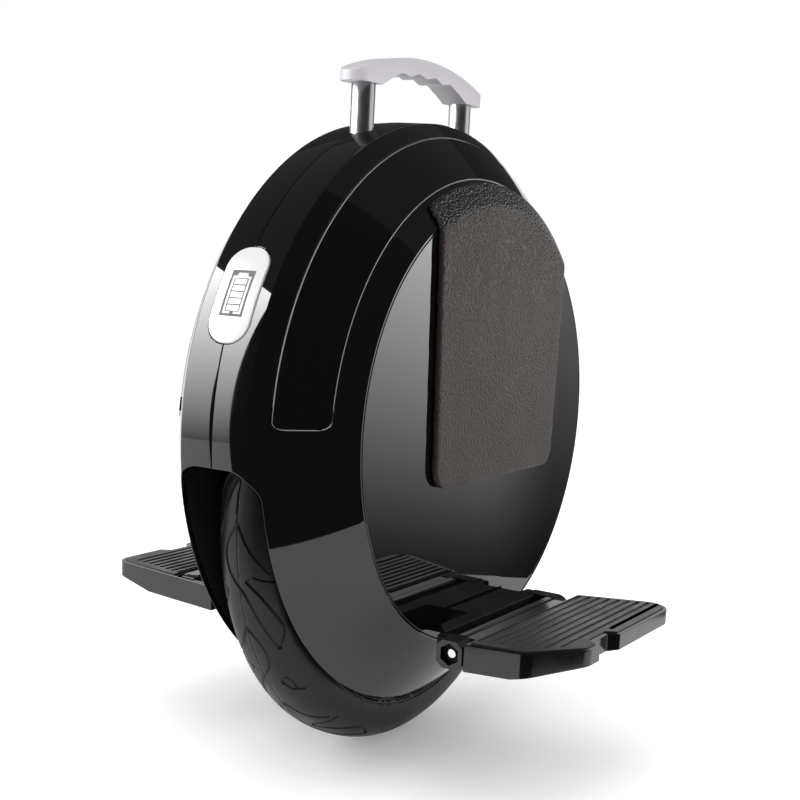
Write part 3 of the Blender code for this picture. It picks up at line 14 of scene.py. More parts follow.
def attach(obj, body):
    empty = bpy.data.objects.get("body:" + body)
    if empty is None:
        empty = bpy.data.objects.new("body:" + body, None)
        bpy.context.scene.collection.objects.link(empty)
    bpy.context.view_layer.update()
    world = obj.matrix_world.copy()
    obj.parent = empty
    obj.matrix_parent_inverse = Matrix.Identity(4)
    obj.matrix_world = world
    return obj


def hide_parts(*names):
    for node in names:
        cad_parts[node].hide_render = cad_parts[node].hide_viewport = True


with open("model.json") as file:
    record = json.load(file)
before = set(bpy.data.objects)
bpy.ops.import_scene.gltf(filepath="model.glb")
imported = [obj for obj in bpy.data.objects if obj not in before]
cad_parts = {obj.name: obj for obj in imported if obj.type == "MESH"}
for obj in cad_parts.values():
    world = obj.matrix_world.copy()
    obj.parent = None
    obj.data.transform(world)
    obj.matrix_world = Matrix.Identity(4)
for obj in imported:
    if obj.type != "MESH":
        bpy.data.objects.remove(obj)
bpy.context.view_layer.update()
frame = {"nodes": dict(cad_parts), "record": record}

# %% [markdown]
# ## The camera
# It stands where the photographer stood, a little above the machine's middle and towards its left
# front. Its three directions make the columns of one matrix.

# %% Camera
VIEW_FROM = Vector((0.5136, -0.8059, 0.3504))
VIEW_RIGHT = Vector((0.8395, 0.5412, 0.0485))
VIEW_UP = Vector((-0.1016, 0.0686, 0.9925))
LENS_MM = 60.35
back = VIEW_RIGHT.cross(VIEW_UP).normalized()
bpy.ops.object.camera_add()
camera = bpy.context.object
camera.data.lens = LENS_MM
camera.data.sensor_width = 36.0
columns = (VIEW_RIGHT, back.cross(VIEW_RIGHT).normalized(), back)
camera.matrix_world = Matrix.Translation(VIEW_FROM) @ Matrix(columns).transposed().to_4x4()
bpy.context.scene.camera = camera
bpy.context.scene.view_settings.view_transform = "Standard"
print("camera", camera.location)

# %% [markdown]
# ## Nodes and colours
# One function adds a node with its settings and links. Colours are written as the sRGB hex values
# that a colour picker shows, and another function turns them into the linear values that light
# works with.

# %% Node and colour helpers
def node(tree, kind, inputs=None, **settings):
    made = tree.nodes.new(kind)
    for key, value in settings.items():
        setattr(made, key, value)
    for key, value in (inputs or {}).items():
        if isinstance(value, bpy.types.NodeSocket):
            tree.links.new(value, made.inputs[key])
        else:
            made.inputs[key].default_value = value
    return made


def linear(code):
    parts = [int(code[i : i + 2], 16) / 255 for i in (1, 3, 5)]
    return tuple(p / 12.92 if p <= 0.04045 else ((p + 0.055) / 1.055) ** 2.4 for p in parts) + (1.0,)


# %% [markdown]
# ## Floor, background and light
# A plain pale floor runs out of sight, and the background is a world that camera, glossy and
# transmitted rays see as white. The lamps are large and soft. Gloss black shows what stands round
# it more than its own colour, so a few cards that only glossy rays see stand where a studio has its
# dark flags and its soft boxes.

# %% Floor and background
def select_none():
    if bpy.context.object and bpy.context.object.mode != "OBJECT":
        bpy.ops.object.mode_set(mode="OBJECT")
    bpy.ops.object.select_all(action="DESELECT")


def seen_directly(tree):
    """1 for camera, glossy and transmitted rays, 0 for the rays that light the surfaces."""
    ray = node(tree, "ShaderNodeLightPath")
    seen = ray.outputs["Is Camera Ray"]
    for kind in ("Is Glossy Ray", "Is Transmission Ray"):
        seen = node(tree, "ShaderNodeMath", {0: seen, 1: ray.outputs[kind]}, operation="MAXIMUM").outputs[0]
    return seen


FLOOR_WHITE = "#F4F4F3"
WORLD_LIGHT = 0.62
GLOW_START, GLOW_END = -0.25, 0.42
GLOW = 0.6
select_none()
bpy.ops.mesh.primitive_plane_add(size=24.0, location=(0.0, 0.0, -0.0002))
floor = bpy.context.object
floor.name = "floor"
paper = bpy.data.materials.new("white_seamless_paper")
paper.use_nodes = True
tree = paper.node_tree
shader = tree.nodes["Principled BSDF"]
shader.inputs["Base Color"].default_value = linear(FLOOR_WHITE)
shader.inputs["Roughness"].default_value = 0.9
shader.inputs["Specular IOR Level"].default_value = 0.0
shader.inputs["Emission Color"].default_value = linear("#FFFFFF")
place = node(tree, "ShaderNodeNewGeometry").outputs["Position"]
reach = node(tree, "ShaderNodeVectorMath", {0: place}, operation="LENGTH").outputs["Value"]
glow = node(tree, "ShaderNodeMapRange", {"Value": reach, 1: GLOW_START, 2: GLOW_END, 3: 0.0, 4: GLOW})
glow.interpolation_type = "SMOOTHSTEP"
lit = node(tree, "ShaderNodeMath", {0: glow.outputs[0], 1: seen_directly(tree)}, operation="MULTIPLY")
tree.links.new(lit.outputs[0], shader.inputs["Emission Strength"])
floor.data.materials.append(paper)

world = bpy.data.worlds.new("studio")
bpy.context.scene.world = world
world.use_nodes = True
tree = world.node_tree
tree.nodes.clear()
dim = node(tree, "ShaderNodeBackground", {"Color": linear("#FFFFFF"), "Strength": WORLD_LIGHT})
white = node(tree, "ShaderNodeBackground", {"Color": linear("#FFFFFF"), "Strength": 1.0})
both = node(tree, "ShaderNodeMixShader", {0: seen_directly(tree), 1: dim.outputs[0], 2: white.outputs[0]})
node(tree, "ShaderNodeOutputWorld", {"Surface": both.outputs[0]})

# %% Lamps
def around(turn, height, distance):
    """A point seen from the object at an angle round it: 0 is the front and 90 the rider's left."""
    a = math.radians(turn)
    return Vector((math.sin(a) * distance, -math.cos(a) * distance, height))


def facing(place, target):
    return Matrix.Translation(place) @ (place - target).to_track_quat("Z", "Y").to_matrix().to_4x4()


MIDDLE = Vector((0.0, 0.0, 0.24))
for label, turn, height, distance, size, watts in (
    ("key", -45.0, 1.3, 1.8, 1.4, 16.0),
    ("fill", 100.0, 1.0, 2.0, 1.6, 8.0),
    ("top", 0.0, 2.2, 0.3, 1.6, 12.0),
):
    bpy.ops.object.light_add(type="AREA")
    lamp = bpy.context.object
    lamp.name = label + "_lamp"
    lamp.data.size = size
    lamp.data.energy = watts
    lamp.visible_glossy = False
    lamp.matrix_world = facing(around(turn, height, distance), MIDDLE)

# %% [markdown]
# ## Cards
# Each card is one dark flag or one soft box. The flags in front, behind and above keep the shoulders
# and the crown black. The left box lights the front of the crown, the right box shades the side
# plate from grey to black, and the small low box lifts the front of the near pedal.

# %% Cards that only the gloss shows
def card(name, matrix, width, height, low, high, curve=1.0, fade=None):
    """A card whose brightness rises from low at its foot to high at its top.

    curve bends the rise. fade is (start, end, share): across the card, from left to right in
    shares of its width counted from the middle, the light falls to that share.
    """
    select_none()
    bpy.ops.mesh.primitive_plane_add(size=1.0)
    sheet = bpy.context.object
    sheet.name = name
    sheet.matrix_world = matrix @ Matrix.Diagonal((width, height, 1.0, 1.0))
    glow = bpy.data.materials.new(name)
    glow.use_nodes = True
    glow.node_tree.nodes.clear()
    place = node(glow.node_tree, "ShaderNodeTexCoord")
    split = node(glow.node_tree, "ShaderNodeSeparateXYZ", {0: place.outputs["Object"]})
    rise = node(glow.node_tree, "ShaderNodeMath", {0: split.outputs["Y"], 1: 0.5}, operation="ADD", use_clamp=True)
    bent = node(glow.node_tree, "ShaderNodeMath", {0: rise.outputs[0], 1: curve}, operation="POWER")
    ramp = node(glow.node_tree, "ShaderNodeMapRange", {"Value": bent.outputs[0], 3: low, 4: high})
    if fade:
        start, end, share = fade
        side = node(
            glow.node_tree,
            "ShaderNodeMapRange",
            {"Value": split.outputs["X"], 1: start, 2: end, 3: 1.0, 4: share},
            interpolation_type="SMOOTHSTEP",
        )
        both = {0: ramp.outputs[0], 1: side.outputs[0]}
        ramp = node(glow.node_tree, "ShaderNodeMath", both, operation="MULTIPLY")
    light = node(glow.node_tree, "ShaderNodeEmission", {"Strength": ramp.outputs[0]})
    node(glow.node_tree, "ShaderNodeOutputMaterial", {"Surface": light.outputs[0]})
    sheet.data.materials.append(glow)
    for kind in ("camera", "diffuse", "transmission", "volume_scatter", "shadow"):
        setattr(sheet, "visible_" + kind, False)
    return sheet


def standing(turn, distance, foot, top, shift=0.0):
    """The place of an upright card."""
    a = math.radians(turn)
    out = Vector((math.sin(a), -math.cos(a), 0.0))
    along = Vector((math.cos(a), math.sin(a), 0.0))
    up = Vector((0.0, 0.0, 1.0))
    place = out * distance + along * shift + up * (foot + top) / 2
    return Matrix.Translation(place) @ Matrix((along, up, along.cross(up))).transposed().to_4x4()


card("front_flag", standing(32.5, 0.36, 0.0, 1.4, 0.45), 2.1, 1.4, 0.03, 0.05)
card("rear_flag", standing(212.5, 1.2, 0.62, 1.4), 3.2, 0.78, 0.05, 0.06)
card("crown_flag", standing(212.5, 1.2, 0.30, 0.62, 0.02), 0.45, 0.32, 0.05, 0.05)
card("left_box", standing(-45.0, 1.6, 0.0, 1.5), 1.6, 1.5, 1.0, 17.0)
card("right_box", standing(146.0, 0.55, 0.0, 0.46), 0.36, 0.46, 0.12, 7.4, 1.55, (-0.055, 0.195, 0.2))
pedal_front = Vector((0.142, -0.098, 0.100))
card("low_box", facing(Vector((0.112, -0.285, 0.032)), pedal_front), 0.10, 0.05, 1.7, 1.7)
roof = Matrix.Translation((0.0, 0.0, 1.9)) @ Matrix.Rotation(math.pi, 4, "X")
card("roof_flag", roof, 5.0, 5.0, 0.10, 0.16)

# %% [markdown]
# ## Ways of working
# Three small habits are used by hand all the time: draw a line by extruding one vertex, spin it, and
# cut one solid with another. They are kept as functions, because the machine is made of many
# turned and cut pieces. Every solid that goes into a cut is closed and points outwards, because the
# exact Boolean gives the same answer each time only for such solids.

# %% Drawing, spinning and cutting
WELD = 1e-6


def work_on(obj):
    select_none()
    obj.select_set(True)
    bpy.context.view_layer.objects.active = obj


def smooth(degrees=32.0):
    """Shades the active object smooth, except across edges sharper than this."""
    bpy.ops.object.shade_smooth_by_angle(angle=math.radians(degrees))


def settle():
    """Moves the active object's place, turn and size into its mesh."""
    bpy.ops.object.transform_apply(location=True, rotation=True, scale=True)


def edit(obj):
    work_on(obj)
    bpy.ops.object.mode_set(mode="EDIT")
    bpy.ops.mesh.select_all(action="SELECT")


def leave(outward=True):
    bpy.ops.mesh.select_all(action="SELECT")
    if outward:
        bpy.ops.mesh.normals_make_consistent(inside=False)
    bpy.ops.object.mode_set(mode="OBJECT")


def drawn(name, points):
    """A line drawn by extruding one vertex from point to point. It stays in edit mode."""
    select_none()
    bpy.ops.mesh.primitive_plane_add(size=0.001)
    obj = bpy.context.object
    obj.name = obj.data.name = name
    bpy.ops.object.mode_set(mode="EDIT")
    bpy.ops.mesh.select_mode(type="VERT")
    bpy.ops.mesh.select_all(action="SELECT")
    bpy.ops.mesh.merge(type="CENTER")
    last = Vector((0.0, 0.0, 0.0))
    for k, point in enumerate(points):
        step = Vector(point) - last
        if k == 0:
            bpy.ops.transform.translate(value=step)
        else:
            bpy.ops.mesh.extrude_region_move(TRANSFORM_OT_translate={"value": step})
        last = Vector(point)
    bpy.ops.mesh.select_all(action="SELECT")
    return obj


BODY_Z = 0.2328
AXLE_Z = 0.178


def turned(name, profile, steps, height=BODY_Z, start=0.0, sweep=2 * math.pi):
    """Spins a profile of (x, radius) points about the X direction, rising at the front and falling behind.

    start is the turn from the top to the front where the spin begins.
    """
    places = []
    for x, r in profile:
        places.append((x, -r * math.sin(start), height + r * math.cos(start)))
    obj = drawn(name, places)
    bpy.ops.mesh.remove_doubles(threshold=WELD)
    bpy.ops.mesh.spin(steps=steps, angle=sweep, center=(0.0, 0.0, height), axis=(1.0, 0.0, 0.0))
    bpy.ops.mesh.select_all(action="SELECT")
    bpy.ops.mesh.remove_doubles(threshold=WELD)
    if sweep < 2 * math.pi:
        bpy.ops.mesh.fill_holes(sides=0)
    leave()
    return obj


def slab(name, outline, low, high, axis):
    """A flat outline filled and extruded from low to high along an axis."""
    frames = {
        "X": lambda u, v, w: (w, u, v),
        "Y": lambda u, v, w: (u, w, v),
        "Z": lambda u, v, w: (u, v, w),
    }
    put = frames[axis]
    obj = drawn(name, [put(u, v, low) for u, v in outline])
    bpy.ops.mesh.edge_face_add()
    bpy.ops.mesh.extrude_region_move(TRANSFORM_OT_translate={"value": put(0.0, 0.0, high - low)})
    leave()
    return obj


def cut(obj, tool, operation="DIFFERENCE"):
    """Cuts, joins or intersects with another solid, which is used up."""
    step = obj.modifiers.new("cut", "BOOLEAN")
    step.operation = operation
    step.solver = "EXACT"
    step.object = tool
    work_on(obj)
    bpy.ops.object.modifier_apply(modifier=step.name)
    bpy.data.objects.remove(tool)
    return obj


def joined(pieces):
    """Separate solids made one object, so that a single cut takes them all away."""
    work_on(pieces[0])
    for piece in pieces:
        piece.select_set(True)
    bpy.ops.object.join()
    return bpy.context.object


def ease(obj, width, segments=2, angle=40.0):
    """Rounds the sharp edges a little and shades the rest smooth."""
    edit(obj)
    bpy.ops.mesh.remove_doubles(threshold=2 * WELD)
    bpy.ops.mesh.dissolve_degenerate(threshold=2 * WELD)
    leave()
    bevel = obj.modifiers.new("ease", "BEVEL")
    bevel.width = width
    bevel.segments = segments
    bevel.limit_method = "ANGLE"
    bevel.angle_limit = math.radians(angle)
    bevel.use_clamp_overlap = False
    work_on(obj)
    bpy.ops.object.modifier_apply(modifier=bevel.name)
    smooth()
    return obj


def weigh(obj):
    """Lets the large faces settle the shading, so that flats stay flat next to small bevels."""
    step = obj.modifiers.new("weigh", "WEIGHTED_NORMAL")
    step.keep_sharp = True
    work_on(obj)
    bpy.ops.object.modifier_apply(modifier=step.name)
    return obj


def copy_of(obj, name):
    work_on(obj)
    bpy.ops.object.duplicate()
    twin = bpy.context.object
    twin.name = twin.data.name = name
    return twin


def shade_like(obj, uncut):
    """Takes the shading of the uncut skin wherever the piece still lies on it."""
    group = obj.vertex_groups.new(name="skin")
    on_skin = []
    for vertex in obj.data.vertices:
        found, place, _, _ = uncut.closest_point_on_mesh(vertex.co)
        if found and (place - vertex.co).length < 1e-5:
            on_skin.append(vertex.index)
    group.add(on_skin, 1.0, "REPLACE")
    step = obj.modifiers.new("shading", "DATA_TRANSFER")
    step.object = uncut
    step.use_loop_data = True
    step.data_types_loops = {"CUSTOM_NORMAL"}
    step.loop_mapping = "POLYINTERP_NEAREST"
    step.vertex_group = group.name
    work_on(obj)
    bpy.ops.object.modifier_apply(modifier=step.name)
    bpy.data.objects.remove(uncut)
    return obj


def rounded(points, radii, steps=5):
    """Rounds the corners of an outline."""
    out = []
    count = len(points)
    for i, (point, radius) in enumerate(zip(points, radii)):
        corner = Vector(point)
        before = Vector(points[i - 1]) - corner
        after = Vector(points[(i + 1) % count]) - corner
        if radius <= 0.0:
            out.append(tuple(corner))
            continue
        half = before.angle(after) / 2
        reach = min(radius / math.tan(half), 0.48 * before.length, 0.48 * after.length)
        radius = reach * math.tan(half)
        centre = corner + (before.normalized() + after.normalized()).normalized() * radius / math.sin(half)
        first = corner + before.normalized() * reach - centre
        turn = first.angle_signed(corner + after.normalized() * reach - centre)
        for k in range(steps + 1):
            a = -turn * k / steps
            x = first.x * math.cos(a) - first.y * math.sin(a)
            y = first.x * math.sin(a) + first.y * math.cos(a)
            out.append((centre.x + x, centre.y + y))
    return out


def block(name, low, high):
    """A cube added at its size and place."""
    select_none()
    low, high = Vector(low), Vector(high)
    bpy.ops.mesh.primitive_cube_add(size=1.0, location=(low + high) / 2, scale=high - low)
    obj = bpy.context.object
    obj.name = obj.data.name = name
    settle()
    return obj


def rod(name, radius, start, end, sides=48, end_radius=None):
    """A round bar between two points."""
    select_none()
    start, end = Vector(start), Vector(end)
    bpy.ops.mesh.primitive_cone_add(
        vertices=sides,
        radius1=radius,
        radius2=radius if end_radius is None else end_radius,
        depth=(end - start).length,
    )
    obj = bpy.context.object
    obj.name = obj.data.name = name
    turn = (end - start).to_track_quat("Z", "Y").to_matrix().to_4x4()
    obj.matrix_world = Matrix.Translation((start + end) / 2) @ turn
    settle()
    return obj


def other_side(obj, name):
    """A copy mirrored to the rider's right, with a mesh of its own."""
    work_on(obj)
    bpy.ops.object.duplicate()
    twin = bpy.context.object
    twin.name = twin.data.name = name
    twin.scale = (-1.0, 1.0, 1.0)
    settle()
    edit(twin)
    leave()
    return twin


def fit(obj, body, material, slot, *nodes):
    """Gives a piece its finish, its body and the nodes that it stands for."""
    obj.data.materials.clear()
    obj.data.materials.append(material)
    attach(obj, body)
    if nodes:
        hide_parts(*nodes)
    print(obj.name, len(obj.data.polygons), "faces")
    return obj

# %% [markdown]
# ## Finishes
# Each finish starts from the real material and from how its surface was made. All of them share one
# builder: a Principled shader whose roughness changes a little from place to place, as handled
# surfaces do, and whose grain is a fine bump with a size in millimetres. One builder keeps the
# numbers of all the finishes side by side, where they are easy to compare.

# %% The common builder
def material(name, colour, rough, metal=0.0, spread=0.02, patch_mm=25.0, grain_mm=0.6, depth_mm=0.0, **sockets):
    """Roughness runs from rough - spread to rough + spread in patches of patch_mm.

    The grain's bumps are grain_mm apart and depth_mm deep. What is left sets the shader's sockets.
    """
    made = bpy.data.materials.new(name)
    made.use_nodes = True
    tree = made.node_tree
    shader = tree.nodes["Principled BSDF"]
    shader.inputs["Base Color"].default_value = linear(colour)
    shader.inputs["Metallic"].default_value = metal
    for key, value in sockets.items():
        shader.inputs[key.replace("_", " ")].default_value = value
    place = node(tree, "ShaderNodeTexCoord").outputs["Object"]
    patches = node(tree, "ShaderNodeTexNoise", {"Vector": place, "Scale": 1000.0 / patch_mm, "Detail": 5.0})
    ramp = node(
        tree,
        "ShaderNodeMapRange",
        {"Value": patches.outputs[0], 1: 0.3, 2: 0.7, 3: rough - spread, 4: rough + spread},
    )
    tree.links.new(ramp.outputs[0], shader.inputs["Roughness"])
    if depth_mm:
        grain = node(tree, "ShaderNodeTexNoise", {"Vector": place, "Scale": 1000.0 / grain_mm, "Detail": 3.0})
        bump = node(tree, "ShaderNodeBump", {"Height": grain.outputs[0], "Distance": depth_mm / 1000.0})
        tree.links.new(bump.outputs[0], shader.inputs["Normal"])
    print("finish", name)
    return made


# %% [markdown]
# ## Plastics
# The shell and its strips are moulded in black ABS and polished, and the side plates are cast black
# acrylic. All three give the eye a sharp dark mirror, and a slow swell 30 to 60 mm long bends it as a
# large moulding does. The arch and the small fittings are nylon from a spark-eroded mould, with a
# soft grey sheen. The lens is opal polycarbonate with a grey screen print, and the grip is nylon
# under a silver lacquer, pale and satin.

# %% Plastics
abs_gloss = material(
    "piano_black_moulded_abs", "#0B0B0C", 0.035, spread=0.02, grain_mm=30.0, depth_mm=0.012, IOR=1.54
)
abs_strip = material(
    "piano_black_strip_abs", "#09090A", 0.03, spread=0.015, grain_mm=30.0, depth_mm=0.01, IOR=1.54
)
acrylic = material(
    "mirror_black_acrylic", "#0C0C0E", 0.02, spread=0.012, grain_mm=60.0, depth_mm=0.01, IOR=1.49
)
nylon = material(
    "matt_black_moulded_nylon", "#17171A", 0.5, spread=0.08, grain_mm=0.5, depth_mm=0.03, IOR=1.53
)
opal = material("opal_white_polycarbonate", "#E9EAE9", 0.18, spread=0.03, IOR=1.58)
ink = material("grey_screen_print", "#77787B", 0.8, spread=0.04, Specular_IOR_Level=0.2)
paint = material(
    "silver_lacquered_nylon", "#CFCBD1", 0.4, spread=0.04, grain_mm=0.4, depth_mm=0.01, IOR=1.5
)
solder = material("green_solder_resist", "#1F6B3A", 0.35, spread=0.05)
wrap = material("blue_shrink_wrap", "#1E3C86", 0.35, spread=0.1, grain_mm=18.0, depth_mm=0.6)

# %% [markdown]
# ## Metals and enamels
# The handle's posts are brushed and anodised tube, bright with a soft spread. The pedals are
# aluminium castings under black enamel, which gives crisp lights along their edges. The hangers have
# a matt powder coat, so they sink into the dark under the body, and only the front of the lug is
# enamelled. The strips' rims get a light grey satin, a painted highlight that draws a fine line round
# each strip. Copper, iron and raw alloy are for the parts inside.

# %% Metals
brushed = material("brushed_anodised_tube", "#C9C7CB", 0.3, metal=1.0, spread=0.05)
bright = material("bright_zinc_plated_steel", "#D6D6D4", 0.2, metal=1.0, spread=0.06, patch_mm=6.0)
alloy = material(
    "raw_die_cast_aluminium", "#A9ABAD", 0.45,
    metal=1.0, spread=0.1, patch_mm=8.0, grain_mm=0.8, depth_mm=0.03,
)
coat = material(
    "black_enamelled_die_casting", "#0B0A0B", 0.12, spread=0.05, grain_mm=2.5, depth_mm=0.01, IOR=1.5
)
powder = material(
    "matt_black_powder_coat", "#0A0A0B", 0.6,
    spread=0.05, grain_mm=0.8, depth_mm=0.02, Specular_IOR_Level=0.15,
)
# The strip's rim is the same black moulding. This light grey is a painted highlight line along it.
rim_highlight_paint = material("strip_rim_painted_highlight", "#8C8C90", 0.35, spread=0.03, IOR=1.54)
copper = material(
    "enamelled_copper_wire", "#B4632C", 0.3, metal=1.0, spread=0.05, grain_mm=1.2, depth_mm=0.3
)
iron = material(
    "dark_laminated_iron", "#4A4A4D", 0.45, metal=1.0, spread=0.08, grain_mm=1.0, depth_mm=0.05
)

# %% [markdown]
# ## Rubbers and leather
# Tyre rubber is almost black and takes a wide dull light. The pedal mats are a smoother, browner
# rubber. The leg pads are foam with a leathered skin: its pebbles are drawn 1.6 mm apart, about twice
# the real size, because finer ones wouldn't show. The band that laps over the shoulder is darker,
# shinier and coarser, so colour, sheen and depth all follow the distance from the body's centre.

# %% Rubbers and leather
rubber = material(
    "moulded_tyre_rubber", "#0F0F10", 0.42,
    spread=0.06, grain_mm=0.7, depth_mm=0.03, IOR=1.52, Specular_IOR_Level=0.28,
)
mat_rubber = material(
    "moulded_mat_rubber", "#2A2624", 0.36, spread=0.08, grain_mm=0.6, depth_mm=0.02, IOR=1.52
)
PAD_BROWN, BAND_BLACK = "#332B28", "#0E0D0D"
BAND_START, BAND_END = 0.147, 0.150
PEBBLES_PER_METRE = 620.0
PEBBLE_DEPTH, BAND_DEPTH = 0.0007, 0.0015
leather = material("black_leathered_foam_skin", PAD_BROWN, 0.42, spread=0.03, IOR=1.5)
tree = leather.node_tree
shader = tree.nodes["Principled BSDF"]
place = node(tree, "ShaderNodeTexCoord").outputs["Object"]
apart = node(tree, "ShaderNodeSeparateXYZ", {0: place})
flat = node(tree, "ShaderNodeCombineXYZ", {0: 0.0, 1: apart.outputs["Y"], 2: apart.outputs["Z"]})
from_hub = node(tree, "ShaderNodeVectorMath", {0: flat.outputs[0], 1: (0.0, 0.0, BODY_Z)}, operation="DISTANCE")
band = node(tree, "ShaderNodeMapRange", {"Value": from_hub.outputs["Value"], 1: BAND_START, 2: BAND_END})
tint = node(tree, "ShaderNodeMix", {"Factor": band.outputs[0]}, data_type="RGBA")
tint.inputs[6].default_value = linear(PAD_BROWN)
tint.inputs[7].default_value = linear(BAND_BLACK)
tree.links.new(tint.outputs[2], shader.inputs["Base Color"])
sheen = node(tree, "ShaderNodeMapRange", {"Value": band.outputs[0], 3: 0.25, 4: 1.0})
tree.links.new(sheen.outputs[0], shader.inputs["Specular IOR Level"])
pebbles = node(tree, "ShaderNodeTexVoronoi", {"Vector": place, "Scale": PEBBLES_PER_METRE})
depth = node(tree, "ShaderNodeMapRange", {"Value": band.outputs[0], 3: PEBBLE_DEPTH, 4: BAND_DEPTH})
heights = {"Height": pebbles.outputs["Distance"], "Distance": depth.outputs[0]}
grain = node(tree, "ShaderNodeBump", heights, invert=True)
tree.links.new(grain.outputs[0], shader.inputs["Normal"])

# %% [markdown]
# ## Body halves
# The body is two moulded half shells that meet on a seam round the crown. A shell is nearly a body
# of revolution, so it could be lofted or sculpted, but a spin of one exact section is truer and
# quicker. The section runs from the seam over a flat crown to a crease, down a shoulder drawn as one
# quadratic curve, and round the rim into a seat for the side plate.

# %% Shoulder curve
CROWN_RADIUS = 0.2042
FACE_X = 0.0705
FACE_RADIUS = 0.151
WALL = 0.003
SEAT_X = 0.0675
INNER_X = 0.0645
SEAM_HALF = 0.00015
CREASE = Vector((0.0248, CROWN_RADIUS - 0.0009))
PULL = Vector((0.0485, CROWN_RADIUS - 0.0221))
FACE_EDGE = Vector((FACE_X, FACE_RADIUS))


def shoulder(t, offset=0.0):
    """A point (x, radius) from the crease at 0 to the side plate at 1, moved out by offset."""
    point = CREASE * (1 - t) ** 2 + PULL * 2 * t * (1 - t) + FACE_EDGE * t**2
    along = ((PULL - CREASE) * (1 - t) + (FACE_EDGE - PULL) * t).normalized()
    return tuple(point + Vector((-along.y, along.x)) * offset)


# %% Body profile
STEPS = 192
SKIN = 22
LAND = 0.0012
outer = [(SEAM_HALF, CROWN_RADIUS)] + [shoulder(k / SKIN) for k in range(SKIN + 1)]
outer += [(FACE_X, FACE_RADIUS - LAND), (SEAT_X, FACE_RADIUS - LAND)]
outer_radii = [0.0005, 0.0016] + [0.0] * (SKIN - 1) + [0.0007, 0.0004, 0.0]
inner = [shoulder(k / 10, -WALL) for k in range(11)]
inner = [p for p in inner if p[0] < INNER_X] + [(INNER_X, FACE_RADIUS - WALL)]
profile = rounded([(SEAM_HALF, 0.19)] + outer + [(SEAT_X, 0.0)], [0.0] + outer_radii + [0.0])[1:]
profile += [(INNER_X, 0.0)] + inner[::-1] + [(SEAM_HALF, CROWN_RADIUS - WALL)]
on_axis = next(k for k, p in enumerate(profile) if p[1] == 0.0)
left_shell = turned("left_shell_skin", profile[on_axis + 1 :] + profile[: on_axis + 1], STEPS)
smooth()
uncut_left = copy_of(left_shell, "uncut_left")
uncut_right = other_side(uncut_left, "uncut_right")
smooth()
print("uncut shell", len(left_shell.data.polygons), "faces")

# %% [markdown]
# ## Openings in the shell
# The spun shell is cut for the wheel, the strip's pocket and the pedal's hanger, and its edges are
# eased. The round holes for the light, the posts, the button and the socket come after that, in one
# cut, because their edges are sharp. The smooth shading of the uncut shell is then laid back on the
# cut one, which keeps the reflections clean.

# %% Openings in the skin
ARCH_Z = 0.215
SLOT_HALF = 0.0313
slot_outline = rounded(
    [(SLOT_HALF, -0.02), (SLOT_HALF, ARCH_Z), (-SLOT_HALF, ARCH_Z), (-SLOT_HALF, -0.02)],
    [0.0, 0.020, 0.020, 0.0],
    8,
)
cut(left_shell, slab("slot", slot_outline, -0.23, 0.23, "Y"))

STRIP_START = 0.22
STRIP_END = 0.75
STRIP_FOOT = 0.0082


def strip_span(spread):
    grow = spread / 0.0695
    return STRIP_START - grow, STRIP_END + grow


def strip_ring(name, spread, lift, depth):
    """The band on the shoulder, turned a little past half a circle."""
    first, last = strip_span(spread)
    ts = [first + (last - first) * k / 12 for k in range(13)]
    line = [shoulder(t, lift) for t in ts] + [shoulder(t, -depth) for t in ts[::-1]]
    end_turn = math.radians(95.0)
    return turned(name, line + line[:1], 96, start=end_turn, sweep=2 * end_turn)


def strip_band(name, spread, lift, depth):
    """The same band with its two feet, grown by spread for the pocket that holds it."""
    band = strip_ring(name, spread, lift, depth)
    x_low, x_high = (shoulder(t)[0] for t in strip_span(spread))
    foot = BODY_Z + STRIP_FOOT - spread
    outline = rounded(
        [(x_low, foot), (x_high, foot), (x_high, foot + 0.012), (x_high + 0.01, foot + 0.013),
         (x_high + 0.01, 0.5), (x_low - 0.01, 0.5), (x_low - 0.01, foot + 0.013), (x_low, foot + 0.012)],
        [0.0065 + spread, 0.0065 + spread, 0, 0, 0, 0, 0, 0],
        6,
    )
    return cut(band, slab("strip_ends", outline, -0.25, 0.25, "Y"), "INTERSECT")


cut(left_shell, strip_band("pocket", 0.0004, 0.003, 0.0016))

# %% Round openings
LIGHT_TURN = math.radians(65.0)
BUTTON_TURN = math.radians(-55.0)
SOCKET_TURN = math.radians(-75.0)
POST_REACH = 0.063


def at_turn(turn, radius):
    return Vector((0.0, -radius * math.sin(turn), BODY_Z + radius * math.cos(turn)))


def swing(obj, turn):
    """Turns a piece that was built above the body's centre round to its place on the crown."""
    obj.matrix_world = Matrix.Translation((0.0, 0.0, BODY_Z)) @ Matrix.Rotation(turn, 4, "X")
    work_on(obj)
    settle()
    return obj


def light_bar(name, shrink, low, high):
    """A bar with the battery light's outline, standing across the crown."""
    a, b = 0.016 - shrink, 0.032 - shrink
    outline = rounded([(a, b), (-a, b), (-a, -b), (a, -b)], [0.0145 - shrink] * 4, 8)
    bar = slab(name, outline, CROWN_RADIUS + low, CROWN_RADIUS + high, "Z")
    return swing(bar, LIGHT_TURN)


GATE_LOW, GATE_HIGH = (0.060, -0.0386, 0.0909), (0.0805, 0.0386, 0.1111)
cut(left_shell, block("gate", GATE_LOW, GATE_HIGH))
ease(left_shell, 0.0008, 4)
holes = [light_bar("light_hole", -0.0003, -0.012, 0.01)]
for side in (-1, 1):
    y = side * POST_REACH
    holes.append(rod("post_hole", 0.0089, (0.0, y, 0.36), (0.0, y, 0.46)))
for turn, radius in ((BUTTON_TURN, 0.0108), (SOCKET_TURN, 0.0080)):
    holes.append(rod("port", radius, at_turn(turn, CROWN_RADIUS - 0.0076), at_turn(turn, CROWN_RADIUS + 0.0044)))
cut(left_shell, joined(holes))
work_on(left_shell)
smooth()
right_shell = other_side(left_shell, "right_shell_skin")
smooth()
shade_like(left_shell, uncut_left)
shade_like(right_shell, uncut_right)
fit(left_shell, "body", abs_gloss, "gloss_black_shell", "left_shell")
